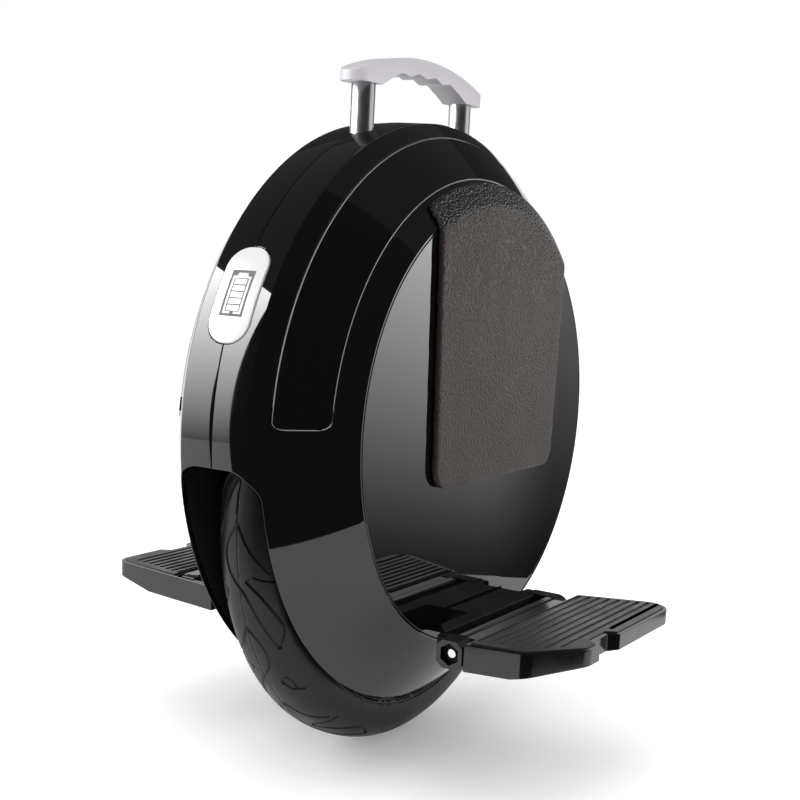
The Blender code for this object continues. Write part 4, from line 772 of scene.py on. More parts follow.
fit(right_shell, "body", abs_gloss, "gloss_black_shell", "right_shell")

# %% [markdown]
# ## Strip panels
# A gloss strip is let into each shoulder. Its rounded rim is the same black moulding but is given a
# light grey satin, a painted highlight that draws a fine light line round the strip.

# %% Strip panels
left_strip = ease(strip_band("left_strip_skin", 0.0, 0.0003, 0.0012), 0.0007, 4)
right_strip = other_side(left_strip, "right_strip_skin")
smooth()
uncut_left = strip_ring("uncut_left_strip", 0.0, 0.0003, 0.0012)
smooth()
uncut_right = other_side(uncut_left, "uncut_right_strip")
smooth()
for piece, uncut, node_name in (
    (left_strip, uncut_left, "left_strip_panel"),
    (right_strip, uncut_right, "right_strip_panel"),
):
    rim_faces = []
    for face in piece.data.polygons:
        _, _, normal, _ = uncut.closest_point_on_mesh(face.center)
        if 0.1 < normal.dot(face.normal) < 0.985:
            rim_faces.append(face.index)
    shade_like(piece, uncut)
    fit(piece, "body", abs_strip, "gloss_black_strip", node_name)
    # The rim faces take the light grey finish, which is a painted highlight round the strip.
    piece.data.materials.append(rim_highlight_paint)
    for index in rim_faces:
        piece.data.polygons[index].material_index = 1

# %% [markdown]
# ## Side plates
# Each side plate is a thick disc of acrylic let into the shell, with a small rounded rim and a gate
# for the hanger. It is spun like the shell, so that the gap between them is even all the way round.

# %% Side plates
edge = FACE_RADIUS - LAND - 0.0003
plate_line = rounded(
    [(SEAT_X + 0.0003, 0.1), (SEAT_X + 0.0003, edge), (FACE_X, edge), (FACE_X, edge - 0.003)], [0, 0, 0.0008, 0]
)
plate_line = [(SEAT_X + 0.0003, 0.0)] + plate_line[1:] + [(FACE_X, 0.0)]
left_plate = turned("left_plate_skin", plate_line, STEPS)
cut(left_plate, block("gate", (GATE_LOW[0], GATE_LOW[1], 0.06), GATE_HIGH))
ease(left_plate, 0.0004)
right_plate = other_side(left_plate, "right_plate_skin")
smooth()
weigh(left_plate)
weigh(right_plate)
fit(left_plate, "body", acrylic, "mirror_black_plate", "left_side_plate")
fit(right_plate, "body", acrylic, "mirror_black_plate", "right_side_plate")

# %% [markdown]
# ## Leg pads
# Each pad is a thin block of moulded foam with a leathered skin. It is glued on the side plate, and
# its top laps over the shoulder. A turned block gives the back that follows the body, and the
# outline is cut out of it. Cloth simulation could puff it up, but the pad is a firm moulding: a fine
# remesh with a few rounds of smoothing makes the soft edges, and a pull on the middle of the face
# gives it a low crown.

# %% Leg pads
PAD_FACE = FACE_X + 0.005
PAD_FLAT = FACE_RADIUS - 0.003
PAD_LAP = 0.2
PAD_LOW, PAD_HIGH = 0.195, 0.409
PAD_MIDDLE = 0.0135
PAD_LOW_HALF, PAD_HIGH_HALF = 0.0825, 0.0909


def drag(obj, near, move, size, connected=True):
    """Pulls the surface at a point, with a smooth fall-off round it."""
    work_on(obj)
    best = min(obj.data.vertices, key=lambda v: (v.co - Vector(near)).length).index
    edit(obj)
    bpy.ops.mesh.select_mode(type="VERT")
    bpy.ops.mesh.select_all(action="DESELECT")
    bpy.ops.object.mode_set(mode="OBJECT")
    obj.data.vertices[best].select = True
    bpy.ops.object.mode_set(mode="EDIT")
    bpy.ops.transform.translate(
        value=move,
        use_proportional_edit=True,
        use_proportional_connected=connected,
        proportional_edit_falloff="SMOOTH",
        proportional_size=size,
    )
    leave(outward=False)


def remeshed(obj, voxel, rounds):
    """Gives a solid an even fine mesh and softens its edges."""
    step = obj.modifiers.new("remesh", "REMESH")
    step.mode = "VOXEL"
    step.voxel_size = voxel
    work_on(obj)
    bpy.ops.object.modifier_apply(modifier=step.name)
    edit(obj)
    bpy.ops.mesh.vertices_smooth(factor=0.5, repeat=rounds)
    leave()
    bpy.ops.object.shade_smooth()
    return obj


line = [(FACE_X + 0.0003, 0.0), (FACE_X + 0.0003, FACE_RADIUS)]
line += [shoulder(1 - PAD_LAP * k / 4, 0.0006) for k in range(5)]
line += [shoulder(1 - PAD_LAP, 0.0036), (PAD_FACE - 0.0008, PAD_FLAT + 0.003)]
line += [(PAD_FACE, PAD_FLAT), (PAD_FACE, 0.0)]
left_pad = turned("left_pad_skin", line, STEPS)
pad_outline = rounded(
    [
        (PAD_MIDDLE - PAD_LOW_HALF, PAD_LOW),
        (PAD_MIDDLE + PAD_LOW_HALF, PAD_LOW),
        (PAD_MIDDLE + PAD_HIGH_HALF, PAD_HIGH),
        (PAD_MIDDLE - PAD_HIGH_HALF, PAD_HIGH),
    ],
    [0.013, 0.013, 0.0, 0.0],
    8,
)
cut(left_pad, slab("pad_outline", pad_outline, 0.05, 0.09, "X"), "INTERSECT")
remeshed(left_pad, 0.0011, 5)
drag(left_pad, (PAD_FACE, PAD_MIDDLE, 0.285), (0.0007, 0.0, 0.0), 0.09)
right_pad = other_side(left_pad, "right_pad_skin")
for pad, node_name in ((left_pad, "left_leg_pad"), (right_pad, "right_leg_pad")):
    fit(pad, "body", leather, "black_leathered_pad", node_name)

# %% [markdown]
# ## Battery light
# The light is an opal lens let into the crown, with a dark gap round it. A grey print shows a
# battery with five bars. The print could be a mask in the material, but thin inlays that follow the
# crown's curve stay sharp at any distance.

# %% Lens
LENS_PROUD = 0.0004
PRINT_PROUD = 0.00006


def crown_skin(low, high, steps=360):
    ring = [(-0.03, low), (-0.03, high), (0.03, high), (0.03, low), (-0.03, low)]
    return turned("crown_skin", ring, steps)


lens = light_bar("battery_lens_skin", 0.0006, -0.006, 0.004)
cut(lens, crown_skin(CROWN_RADIUS - WALL, CROWN_RADIUS + LENS_PROUD), "INTERSECT")
ease(lens, 0.0005, 3)
fit(lens, "body", opal, "white_lens", "battery_light_lens")

# %% Print on the lens
def print_plate(name, points):
    return slab(name, [(u / 1000, v / 1000) for u, v in points], CROWN_RADIUS - 0.004, CROWN_RADIUS + 0.004, "Z")


def frame_points(half_width, low, high):
    return [(half_width, high), (-half_width, high), (-half_width, low), (half_width, low)]


grey = print_plate("battery_print_frame", frame_points(8.7, -15.0, 15.0))
cell = [(6.9, 11.0), (4.2, 11.0), (3.5, 13.3), (-3.5, 13.3), (-4.2, 11.0), (-6.9, 11.0)]
cell += [(-6.9, -13.4), (6.9, -13.4)]
cut(grey, print_plate("cell", cell))
core = print_plate("battery_print_bars", frame_points(5.5, -12.1, 9.7))
bar_low, bar_high, bars = -11.5, 9.1, 5
pitch = (bar_high - bar_low + 0.8) / bars
for k in range(bars):
    start = bar_low + k * pitch
    cut(core, print_plate("bar", frame_points(4.6, start, start + pitch - 0.8)))
notch = print_plate("battery_print_notch", frame_points(1.4, -13.5, -12.0))
for piece in (grey, core, notch):
    swing(piece, LIGHT_TURN)
    cut(piece, crown_skin(CROWN_RADIUS, CROWN_RADIUS + LENS_PROUD + PRINT_PROUD), "INTERSECT")
    fit(piece, "body", ink, "white_lens")

# %% [markdown]
# ## Handle
# The grip is a moulded bar with an arched back, an end block over each post and four finger
# hollows below. It is drawn as a side view, cut by its plan and then bevelled: its back is well
# rounded and its lower edges only a little. The posts are brushed tubes in collars, and the rear
# one has two small detents.

# %% Grip
GRIP_Z = 0.480
GRIP_HALF_LENGTH = 0.082
GRIP_HALF_WIDTH = 0.010
GRIP_ARC = 0.214
BLOCK_LENGTH = 0.027
FINGER_PITCH = 0.021


def grip_top(y):
    return GRIP_Z - GRIP_ARC + math.sqrt(GRIP_ARC**2 - y * y)


def bevel_where(obj, width, segments, wanted, angle=40.0):
    """Rounds the sharp edges whose middle passes a test."""
    edit(obj)
    bpy.ops.mesh.select_mode(type="EDGE")
    bpy.ops.mesh.select_all(action="DESELECT")
    bpy.ops.mesh.edges_select_sharp(sharpness=math.radians(angle))
    bpy.ops.object.mode_set(mode="OBJECT")
    places = [v.co.copy() for v in obj.data.vertices]
    for edge in obj.data.edges:
        a, b = edge.vertices
        edge.select = edge.select and wanted((places[a] + places[b]) / 2)
    bpy.ops.object.mode_set(mode="EDIT")
    bpy.ops.mesh.bevel(offset=width, segments=segments, affect="EDGES", clamp_overlap=True)
    leave()
    return obj


block_under = grip_top(POST_REACH) - 0.0135
top_line = [(GRIP_HALF_LENGTH * (1 - k / 16), grip_top(GRIP_HALF_LENGTH * (1 - k / 16))) for k in range(33)]
wave = []
for k in range(49):
    y = -2 * FINGER_PITCH * (1 - k / 24)
    bump = 0.0022 * (0.5 - 0.5 * math.cos(2 * math.pi * y / FINGER_PITCH))
    wave.append((y, grip_top(y) - 0.0125 + bump))
inner_end = GRIP_HALF_LENGTH - BLOCK_LENGTH
front_block = [(-GRIP_HALF_LENGTH, block_under), (-inner_end, block_under)]
rear_block = [(inner_end, block_under), (GRIP_HALF_LENGTH, block_under)]
corners = rounded(front_block + [wave[0]], [0.0, 0.002, 0.0])[1:-1]
rear_corners = [(-y, z) for y, z in corners[::-1]]
side_view = top_line + front_block[:1] + corners + wave + rear_corners + rear_block[1:]
grip = slab("grip_skin", side_view, -GRIP_HALF_WIDTH, GRIP_HALF_WIDTH, "X")
plan = rounded(
    [
        (GRIP_HALF_WIDTH, GRIP_HALF_LENGTH),
        (-GRIP_HALF_WIDTH, GRIP_HALF_LENGTH),
        (-GRIP_HALF_WIDTH, -GRIP_HALF_LENGTH),
        (GRIP_HALF_WIDTH, -GRIP_HALF_LENGTH),
    ],
    [GRIP_HALF_WIDTH * 0.9] * 4,
    10,
)
cut(grip, slab("grip_plan", plan, 0.43, 0.49, "Z"), "INTERSECT")
bevel_where(grip, 0.0042, 6, lambda p: p.z > grip_top(p.y) - 0.003)
bevel_where(grip, 0.0012, 3, lambda p: p.z < grip_top(p.y) - 0.008)
seats = []
for y in (-POST_REACH, POST_REACH):
    seats.append(rod("seat", 0.0083, (0.0, y, 0.44), (0.0, y, 0.4633)))
cut(grip, joined(seats))
work_on(grip)
smooth(35.0)
fit(grip, "handle", paint, "satin_silver_grip", "handle_grip")

# %% Posts
COLLAR_TOP = BODY_Z + math.sqrt((CROWN_RADIUS - WALL) ** 2 - POST_REACH**2) - 0.0178
for label, side in (("front", -1), ("rear", 1)):
    y = side * POST_REACH
    post = rod(label + "_post_skin", 0.008, (0.0, y, COLLAR_TOP - 0.001), (0.0, y, 0.4630), 96)
    cut(post, rod("collar", 0.0100, (0.0, y, COLLAR_TOP - 0.005), (0.0, y, COLLAR_TOP), 96), "UNION")
    if side > 0:
        for turn in (-0.55, 2.6):
            out = Vector((math.sin(turn) * 0.0100, -math.cos(turn) * 0.0100, 0.0))
            centre = Vector((0.0, y, 0.4395))
            cut(post, rod("detent", 0.0011, centre + out * 0.76, centre + out, 16, 0.0016))
    ease(post, 0.0002, 2)
    fit(post, "handle", brushed, "brushed_steel", "handle_post_" + label)

# %% [markdown]
# ## Wheel arch
# The wheel runs in a well of matt black moulded nylon. A roof stands over the tyre, with a ledge at
# each end that meets the skin above the opening, and a wall stands on each side. The inside of the
# body trims them, as the real mouldings are trimmed to the shell that holds them.

# %% Wheel arch
LINER_IN, LINER_OUT = 0.0318, 0.0333
ROOF_LOW, ROOF_HIGH = 0.1905, 0.1928
WALL_EDGE = ROOF_LOW - 0.0003


def body_hollow():
    """The inside of the body as a solid, a little smaller than the skin."""
    gap = 0.0003
    side = INNER_X - gap
    half = [(0.0, CROWN_RADIUS - WALL - gap)]
    half += [p for p in (shoulder(k / 10, -WALL - gap) for k in range(11)) if p[0] < side]
    half += [(side, FACE_RADIUS - WALL), (side, 0.0)]
    return turned("hollow", [(-x, r) for x, r in half[:0:-1]] + half, STEPS)


def ring_line(x_low, x_high, inner, outer):
    return [(x_low, inner), (x_low, outer), (x_high, outer), (x_high, inner), (x_low, inner)]


roof_piece = turned("arch_roof_skin", ring_line(-LINER_OUT, LINER_OUT, ROOF_LOW, ROOF_HIGH), 160, AXLE_Z)
cut(roof_piece, block("below", (-0.05, -0.22, -0.02), (0.05, 0.22, ARCH_Z + 0.0003)))
for low_y, high_y in ((-0.21, -0.188), (0.188, 0.21)):
    ledge = block("ledge", (-0.0328, low_y, ARCH_Z + 0.0008), (0.0328, high_y, ARCH_Z + 0.0031))
    cut(roof_piece, ledge, "UNION")
cut(roof_piece, body_hollow(), "INTERSECT")
ease(roof_piece, 0.0003)
fit(roof_piece, "body", nylon, "matt_black_plastic", "wheel_arch_roof")

end_turn = math.acos((ARCH_Z - AXLE_Z) / WALL_EDGE)
wall_line = []
for k in range(-30, 31):
    turn = end_turn * k / 30
    wall_line.append((WALL_EDGE * math.sin(turn), AXLE_Z + WALL_EDGE * math.cos(turn)))
for y, z in ((1, ARCH_Z), (1, -0.01), (-1, -0.01), (-1, ARCH_Z)):
    wall_line.append((y * CROWN_RADIUS, z))
left_wall = slab("left_arch_wall_skin", wall_line, LINER_IN, LINER_OUT, "X")
cut(left_wall, rod("hole", 0.045, (0.02, 0.0, AXLE_Z), (0.045, 0.0, AXLE_Z), 96))
cut(left_wall, body_hollow(), "INTERSECT")
ease(left_wall, 0.0003)
right_wall = other_side(left_wall, "right_arch_wall_skin")
smooth()
for wall, node_name in ((left_wall, "left_arch_wall"), (right_wall, "right_arch_wall")):
    weigh(wall)
    fit(wall, "body", nylon, "matt_black_plastic", node_name)

# %% [markdown]
# ## Tyre
# A 14 inch road tyre with a round tread. Its section is drawn as one smooth line with two moulded
# rings on the sidewall and a fine notch round the middle, and it is spun about the axle.

# %% Tyre section
TYRE_OUTSIDE = [
    (0.0, 0.178), (0.013, 0.17539), (0.022, 0.16669), (0.025, 0.15364), (0.023, 0.1432), (0.0172, 0.1351),
]
TYRE_INSIDE = [(0.0, 0.172), (0.0145, 0.16669), (0.020, 0.15277), (0.0125, 0.13668)]
RING_RADII = (0.1475, 0.1508)
RING_LIFT = 0.0006
REPEATS = 8


def smooth_line(points, parts):
    """A curve through all the points, which leaves each one towards its neighbours' line."""
    ends = [Vector(p) for p in points]
    ends = [ends[0] * 2 - ends[1]] + ends + [ends[-1] * 2 - ends[-2]]
    out = []
    for a, b, c, d in zip(ends, ends[1:], ends[2:], ends[3:]):
        for k in range(parts):
            t = k / parts
            bend = (2 * a - 5 * b + 4 * c - d) * t**2 + (3 * b - a - 3 * c + d) * t**3
            out.append((2 * b + (c - a) * t + bend) / 2)
    return [tuple(p) for p in out] + [tuple(ends[-2])]


outside = smooth_line([(-0.013, 0.17539)] + TYRE_OUTSIDE, 8)[8:]
tread_line = outside[:25]
section = [(0.0, 0.178 - 0.0005), (0.0004, 0.178)]
for (ax, ar), (bx, br) in zip(outside[1:], outside[2:]):
    section.append((ax, ar))
    for ring in RING_RADII:
        if br < ring <= ar:
            x = ax + (bx - ax) * (ar - ring) / (ar - br)
            for lift, half in ((0.0, 0.0007), (RING_LIFT, 0.0003), (RING_LIFT, -0.0003), (0.0, -0.0007)):
                section.append((x + lift, ring + half))
section += [outside[-1], (0.0172, 0.1273), (0.0145, 0.1273)]
inside_line = smooth_line(TYRE_INSIDE, 4)
section += inside_line[::-1]
whole = section + [(-x, r) for x, r in section[-2:0:-1]] + section[:1]
tyre = turned("tyre_skin", whole, 240, AXLE_Z)
smooth()
uncut_tyre = copy_of(tyre, "uncut_tyre")


# %% [markdown]
# ## Tread
# The grooves are cut with tubes: each one is a line laid on the tyre, thickened and taken away. A
# displacement would need a far finer mesh for the same sharp edges. The bends stay wider than the
# tube, or the tube would cross itself and spoil the cut. The pattern repeats eight times round the
# wheel, and the other side has the same grooves mirrored, half a step on.

# %% Tread grooves
def on_tread(x_mm, degrees):
    """A place on the tyre: millimetres from the middle, and the turn from the top to the front."""
    x = abs(x_mm) / 1000
    (ax, ar), (bx, br) = next((a, b) for a, b in zip(tread_line, tread_line[1:]) if b[0] >= x)
    radius = ar + (br - ar) * (x - ax) / (bx - ax)
    a = math.radians(degrees)
    return (x_mm / 1000, -radius * math.sin(a), AXLE_Z + radius * math.cos(a))


def tube(name, points, radius):
    """A line turned into a curve, thickened and made mesh again."""
    drawn(name, points)
    leave(outward=False)
    bpy.ops.object.convert(target="CURVE")
    bpy.context.object.data.bevel_depth = radius
    bpy.context.object.data.bevel_resolution = 1
    bpy.context.object.data.use_fill_caps = True
    bpy.ops.object.convert(target="MESH")
    made = bpy.context.object
    edit(made)
    bpy.ops.mesh.remove_doubles(threshold=WELD)
    leave()
    return made


def round_axle(obj, degrees):
    axle = Matrix.Translation((0.0, 0.0, AXLE_Z))
    obj.matrix_world = axle @ Matrix.Rotation(math.radians(degrees), 4, "X") @ axle.inverted()
    work_on(obj)
    settle()
    return obj


GROOVE_RADIUS = 0.0012
LONG_GROOVES = (
    [(0.5, 90), (-5.0, 92.5), (-8.9, 96), (-7.4, 99.6), (-3.1, 102), (4, 105), (11, 111), (17.6, 118)],
    [(5.4, 101.9), (9.1, 100.6), (15.4, 101.2), (21.7, 102)],
    [(11.0, 128.2), (13.0, 126.2), (15.4, 126.4), (17.0, 128.4), (17.6, 130.6)],
)
SHORT_GROOVES = (
    [(0.5, 89.8), (3.6, 92), (8.6, 95), (14.4, 97.6), (19.4, 100)],
    [(5.2, 101.7), (13.8, 105), (19.6, 110), (21.2, 114), (17.6, 118)],
    [(10.8, 126.8), (14.4, 129.8), (20.2, 131.4)],
)
for grooves in (LONG_GROOVES, SHORT_GROOVES):
    tubes = []
    for path in grooves:
        tubes.append(tube("groove", [on_tread(*point) for point in smooth_line(path, 4)], GROOVE_RADIUS))
    near = joined(tubes)
    far = round_axle(other_side(near, "far_grooves"), 180.0 / REPEATS)
    step = joined([near, far])
    ring = [step] + [round_axle(copy_of(step, "step"), 360.0 * k / REPEATS) for k in range(1, REPEATS)]
    cut(tyre, joined(ring))
work_on(tyre)
smooth()
shade_like(tyre, uncut_tyre)
fit(tyre, "wheel", rubber, "tyre_rubber", "tyre")

# %% [markdown]
# ## Hangers and pedals
# A cast hanger comes out of each side of the body and carries a hinge bar with two lugs. The pedal
# is a cast plate with a finger notch, pockets below and a barrel between the lugs. The left pedal
# has a chamfered front corner and leaves its front lug open. The right one has a plain front with a
# wing that covers the lug. Edges are eased before one casting meets the next, as a pattern maker
# does it, so that every edge catches a fine line of light.

# %% Hinge and hanger
HINGE_X, HINGE_Z = 0.1105, 0.101
LUG_RADIUS, LUG_CHAMFER, LUG_EASE = 0.0094, 0.0040, 0.0006
PIN_RADIUS = 0.0032
FRONT_Y, REAR_Y = -0.102, 0.050
FRONT_LUG_BACK, REAR_LUG_FRONT = -0.0882, 0.0370
COVERED_Y = -0.0955


def hinge_rod(name, radius, y_low, y_high, sides=48):
    return rod(name, radius, (HINGE_X, y_low, HINGE_Z), (HINGE_X, y_high, HINGE_Z), sides)


def front_lug(y_low):
    """The front lug is a square block round the pin with its corners cut off."""
    a, b = LUG_RADIUS, LUG_RADIUS - LUG_CHAMFER
    corners = ((a, b), (b, a), (-b, a), (-a, b), (-a, -b), (-b, -a), (b, -a), (a, -b))
    line = [(HINGE_X + x, HINGE_Z + z) for x, z in corners]
    return ease(slab("lug", line, y_low, FRONT_LUG_BACK, "Y"), LUG_EASE, 3)


def rear_lug():
    """The rear lug is square towards the body and round on top."""
    line = [(0.092, HINGE_Z - LUG_RADIUS), (HINGE_X + LUG_RADIUS, HINGE_Z - LUG_RADIUS)]
    for k in range(17):
        a = math.pi / 2 * k / 16
        line.append((HINGE_X + LUG_RADIUS * math.cos(a), HINGE_Z + LUG_RADIUS * math.sin(a)))
    line.append((0.092, HINGE_Z + LUG_RADIUS))
    return ease(slab("lug", line, REAR_LUG_FRONT, REAR_Y, "Y"), LUG_EASE, 3)


def hanger(name, lug_start):
    arm = [(0.0375, 0.1115)]
    for k in range(25):
        a = math.radians(-20.0 + 220.0 * k / 24)
        arm.append((0.024 * math.cos(a), AXLE_Z + 0.024 * math.sin(a)))
    arm += [(-0.0375, 0.1115), (-0.0375, 0.0925), (0.0375, 0.0925)]
    obj = ease(slab(name, arm, 0.046, 0.054, "X"), 0.0005)
    foot = rounded(
        [
            (0.050, -0.038), (0.086, -0.038), (0.086, -0.0730), (0.0965, -0.0865), (0.098, -0.0865),
            (0.098, 0.0495), (0.086, 0.0495), (0.086, 0.038), (0.050, 0.038),
        ],
        [0.0, 0.003, 0.004, 0.0005, 0.0005, 0.001, 0.002, 0.003, 0.0],
    )
    cut(obj, ease(slab("foot", foot, 0.0920, 0.1100, "Z"), 0.0008, 3), "UNION")
    web = block("web", (0.0955, -0.0925, HINGE_Z - 0.0080), (0.1030, -0.0842, HINGE_Z + 0.0080))
    cut(obj, ease(web, 0.0008, 3), "UNION")
    cut(obj, front_lug(lug_start), "UNION")
    cut(obj, rear_lug(), "UNION")
    cut(obj, rod("axle_hole", 0.0078, (0.03, 0.0, AXLE_Z), (0.07, 0.0, AXLE_Z)))
    cut(obj, hinge_rod("pin_hole", PIN_RADIUS + 0.0001, -0.12, 0.07))
    if lug_start == FRONT_Y:
        hexagon = []
        for k in range(6):
            a = math.pi / 3 * k
            hexagon.append((HINGE_X + 0.00716 * math.sin(a), HINGE_Z + 0.00716 * math.cos(a)))
        cut(obj, slab("recess", hexagon, -0.12, FRONT_Y + 0.004, "Y"))
    return obj


# %% [markdown]
# ## Pedal
# The pedal's plan is one outline with rounded corners, used again for the tray and the mat with a
# margin. The underside tapers to the outer edge and has pockets between ribs, as a casting has to
# keep its walls even.

# %% Pedal plan
PEDAL_IN, PEDAL_OUT = 0.1206, 0.186
PEDAL_LOW, PEDAL_TOP = 0.092, 0.1095
NOTCH_IN = PEDAL_OUT - 0.007
WING_IN = 0.083
TAPER_START, TAPER_RISE = 0.150, 0.007
KNUCKLE_FRONT, KNUCKLE_BACK = FRONT_LUG_BACK + 0.0003, REAR_LUG_FRONT - 0.0003
NOTCH = [(PEDAL_OUT, -0.044), (NOTCH_IN, -0.0391), (NOTCH_IN, -0.0179), (PEDAL_OUT, -0.013)]
REAR_EDGE = [(PEDAL_OUT, 0.085), (PEDAL_IN, 0.060)]
FRONT_EDGE = {
    "left": [(PEDAL_IN, FRONT_Y), (0.160, -0.094), (PEDAL_OUT, -0.060)],
    "right": [(PEDAL_IN, -0.0985), (PEDAL_OUT, -0.0890)],
}
FRONT_RADII = {"left": [0.0, 0.012, 0.012], "right": [0.0, 0.010]}


def inset(points, distance):
    """The outline moved in by a distance. It runs anticlockwise."""
    out = []
    for i, corner in enumerate(points):
        a, b, c = Vector(points[i - 1]), Vector(corner), Vector(points[(i + 1) % len(points)])
        first, last = (b - a).normalized(), (c - b).normalized()
        first_in = Vector((-first.y, first.x)) * distance
        offset = Vector((-last.y, last.x)) * distance - first_in
        cross = first.x * last.y - first.y * last.x
        out.append(tuple(b + first_in + first * (offset.x * last.y - offset.y * last.x) / cross))
    return out


def deck_plan(side, margin=0.0):
    corners = FRONT_EDGE[side] + NOTCH + REAR_EDGE
    radii = FRONT_RADII[side] + [0.0015] * 4 + [0.014, 0.0]
    if margin:
        corners = inset(corners, margin)
    return rounded(corners, [max(r - margin, 0.0) for r in radii], 10)


# %% Pedal
def pedal(side):
    knuckle = [
        (PEDAL_IN, KNUCKLE_BACK), (HINGE_X + 0.0005, KNUCKLE_BACK),
        (HINGE_X + 0.0005, KNUCKLE_FRONT), (PEDAL_IN, KNUCKLE_FRONT),
    ]
    plan = deck_plan(side) + knuckle
    if side == "right":
        plan = [(WING_IN, -0.1015)] + plan[1:] + [(PEDAL_IN, COVERED_Y - 0.0003), (WING_IN, COVERED_Y - 0.0003)]
    obj = slab(side + "_pedal_skin", plan, PEDAL_LOW, PEDAL_TOP, "Z")
    slope = TAPER_RISE / (PEDAL_OUT - TAPER_START)
    wedge = [
        (TAPER_START - 0.01, PEDAL_LOW - 0.01 * slope), (PEDAL_OUT + 0.01, PEDAL_LOW - 0.01 * slope),
        (PEDAL_OUT + 0.01, PEDAL_LOW + TAPER_RISE + 0.01 * slope),
    ]
    cut(obj, slab("taper", wedge, -0.12, 0.12, "Y"))
    ease(obj, 0.0007, 3, 35.0)
    barrel = hinge_rod("barrel", LUG_RADIUS, KNUCKLE_FRONT + 0.0005, KNUCKLE_BACK - 0.0005, 64)
    cut(obj, ease(barrel, 0.0005), "UNION")
    lip = block("lip", (0.0983, KNUCKLE_FRONT + 0.004, PEDAL_LOW + 0.0005), (0.1145, KNUCKLE_BACK - 0.004, 0.0975))
    cut(obj, lip, "UNION")
    cut(obj, hinge_rod("bore", PIN_RADIUS + 0.0001, -0.0950, 0.047))
    pockets = []
    for x_low, x_high in ((0.1281, 0.1455), (0.1485, 0.1715)):
        for row in range(4):
            y_low = -0.0825 + 0.035 * row
            if x_high > 0.16:
                y_low = max(y_low, -0.0585)
            pockets.append(block("pocket", (x_low, y_low, 0.08), (x_high, -0.0505 + 0.035 * row, 0.101)))
    cut(obj, joined(pockets))
    return cut(obj, slab("tray", deck_plan(side, TRAY_MARGIN), PEDAL_TOP - 0.0014, 0.12, "Z"))


# %% [markdown]
# ## Mat
# A moulded rubber sheet lies in the tray and stands a little proud. Nine grooves run from front to
# rear, and the one beside the finger notch starts behind it. They are blocks taken away in one cut.

# %% Pedal mat
TRAY_MARGIN = 0.0025
MAT_LOW, MAT_TOP = 0.1084, 0.1104
RIB_START, RIB_PITCH = 0.1251, 0.00645
NOTCH_RIB_FRONT = -0.008


def groove_front(side, x):
    """Where a groove begins: a few millimetres behind the pedal's front edge."""
    if side == "right":
        return -0.0905 + 0.145 * (x - PEDAL_IN)
    if x > 0.1576:
        return -0.0845 + 1.3077 * (x - 0.1576)
    return -0.0920 + 0.203 * (x - PEDAL_IN)


def mat(side):
    obj = slab(side + "_mat_skin", deck_plan(side, TRAY_MARGIN + 0.0003), MAT_LOW, MAT_TOP, "Z")
    ribs = []
    for k in range(9):
        x = RIB_START + RIB_PITCH * k
        front = NOTCH_RIB_FRONT if k == 8 else groove_front(side, x)
        back = 0.0530 + 0.3823 * (x - PEDAL_IN)
        ribs.append(block("groove", (x - 0.0013, front, MAT_TOP - 0.0013), (x + 0.0013, back, 0.12)))
    cut(obj, joined(ribs))
    return ease(obj, 0.0004, 2, 35.0)


# %% [markdown]
# ## Both sides
# The right side's pieces are built on the left and mirrored, and the first ones are removed, so each
# side keeps meshes of its own.

# %% Both sides
for side, lug_start in (("left", FRONT_Y), ("right", COVERED_Y)):
    pin = hinge_rod(side + "_pin_skin", PIN_RADIUS, max(lug_start, FRONT_Y + 0.003) + 0.0002, REAR_Y - 0.0005)
    for piece, label, body_name, finish, slot_name in (
        (hanger(side + "_hanger_skin", lug_start), "hanger", "body", powder, "black_cast_alloy"),
        (ease(pin, 0.0007, 3), "hinge_pin", "body", bright, "bright_steel"),
        (pedal(side), "pedal", side + "_pedal_body", coat, "black_cast_alloy"),
        (mat(side), "pedal_mat", side + "_pedal_body", mat_rubber, "pedal_mat_rubber"),
    ):
        if side == "right":
            built = piece
            piece = other_side(built, built.name + "_turned")
            bpy.data.objects.remove(built)
        work_on(piece)
        smooth()
        weigh(piece)
        fit(piece, body_name, finish, slot_name, side + "_" + label)
        if label == "hanger":
            piece.data.materials.append(coat)
            for face in piece.data.polygons:
                if face.center.y < lug_start + 2 * LUG_EASE:
                    face.material_index = 1

# %% [markdown]
# ## Button and charging port
# The power button is a turned cap in a raised bezel, dished so that a finger finds it. The charging
# socket lies under a round cap with a hinge tab. Both sit on the crown behind the handle. It is
# easier to build them upright above the body's centre and then turn them round to their places.

# %% Button and charging port
def onto_crown(obj, turn):
    swing(obj, turn)
    smooth()
    return weigh(obj)


def upright(name, radius, low, high, sides=64):
    return rod(name, radius, (0.0, 0.0, low), (0.0, 0.0, high), sides)


RIM_TOP = CROWN_RADIUS + 0.0012
SEAT = CROWN_RADIUS - WALL - 0.002
bezel = upright("bezel_skin", 0.0105, SEAT - 0.004, RIM_TOP)
cut(bezel, upright("bore", 0.0079, SEAT, CROWN_RADIUS + 0.01))
fit(onto_crown(ease(bezel, 0.0005, 4), BUTTON_TURN), "body", nylon, "matt_black_plastic", "button_bezel")

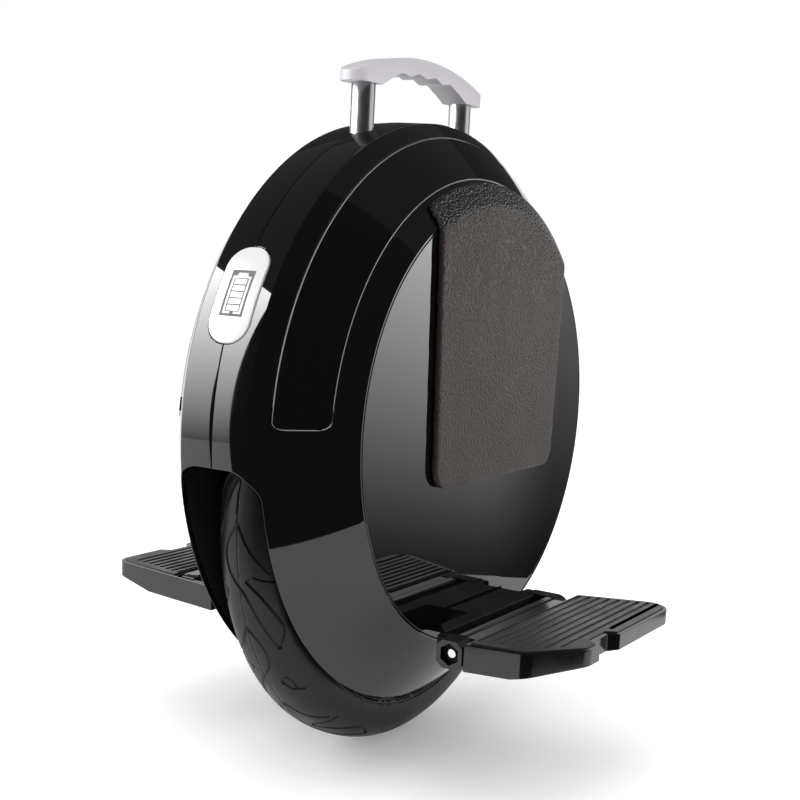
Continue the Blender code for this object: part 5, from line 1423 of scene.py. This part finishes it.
button = ease(upright("button_skin", 0.0078, SEAT + 0.0018, RIM_TOP + 0.0015), 0.0006, 4)
dish_radius = 0.03
select_none()
bpy.ops.mesh.primitive_uv_sphere_add(segments=96, ring_count=64, radius=dish_radius)
dish = bpy.context.object
dish.location = (0.0, 0.0, RIM_TOP + 0.0015 + dish_radius - 0.0006)
settle()
cut(button, dish)
fit(onto_crown(button, BUTTON_TURN), "power_button_body", brushed, "brushed_steel", "power_button")

socket = upright("socket_skin", 0.0077, CROWN_RADIUS - 0.013, CROWN_RADIUS + 0.0002)
cut(socket, upright("bore", 0.0055, CROWN_RADIUS - 0.011, CROWN_RADIUS + 0.01))
fit(onto_crown(ease(socket, 0.0003), SOCKET_TURN), "body", nylon, "matt_black_plastic", "charging_socket")

CAP_LOW = CROWN_RADIUS + 0.0005
cap = ease(upright("charging_cap_skin", 0.0090, CAP_LOW, CAP_LOW + 0.0022), 0.0007, 4)
cut(cap, upright("plug", 0.0040, CAP_LOW - 0.003, CAP_LOW + 0.0005), "UNION")
tab = ease(block("tab", (-0.004, -0.0122, CAP_LOW + 0.0005), (0.004, -0.004, CAP_LOW + 0.0017)), 0.0004)
cut(cap, tab, "UNION")
fit(onto_crown(cap, SOCKET_TURN), "charging_cap_body", nylon, "matt_black_plastic", "charging_cap")

# %% [markdown]
# ## Parts inside
# The motor, the axle, the bearings, the battery packs and the controller keep their CAD shapes,
# because the skins hide them. Each gets the finish of its material, and a few with bare square edges
# get a small bevel.

# %% Finishes of the CAD nodes that stay
finishes = {
    "gloss_black_shell": abs_gloss, "gloss_black_strip": abs_strip, "mirror_black_plate": acrylic,
    "black_leathered_pad": leather, "satin_silver_grip": paint, "brushed_steel": brushed,
    "bright_steel": bright, "cast_alloy": alloy, "black_cast_alloy": coat, "tyre_rubber": rubber,
    "pedal_mat_rubber": mat_rubber, "matt_black_plastic": nylon, "white_lens": opal,
    "circuit_board": solder, "battery_wrap": wrap, "copper_windings": copper, "magnet_iron": iron,
}
PLAIN_INSIDE = ("motor_stator", "controller_board", "controller_heatsink", "left_axle_nut", "right_axle_nut")
for part in frame["record"]["subparts"]:
    kept = frame["nodes"][part["node"]]
    kept.data.materials.clear()
    kept.data.materials.append(finishes[part["material_slot"]])
    if part["node"] in PLAIN_INSIDE:
        edges = kept.modifiers.new("edges", "BEVEL")
        edges.width = 0.0003
        edges.segments = 2
        edges.limit_method = "ANGLE"
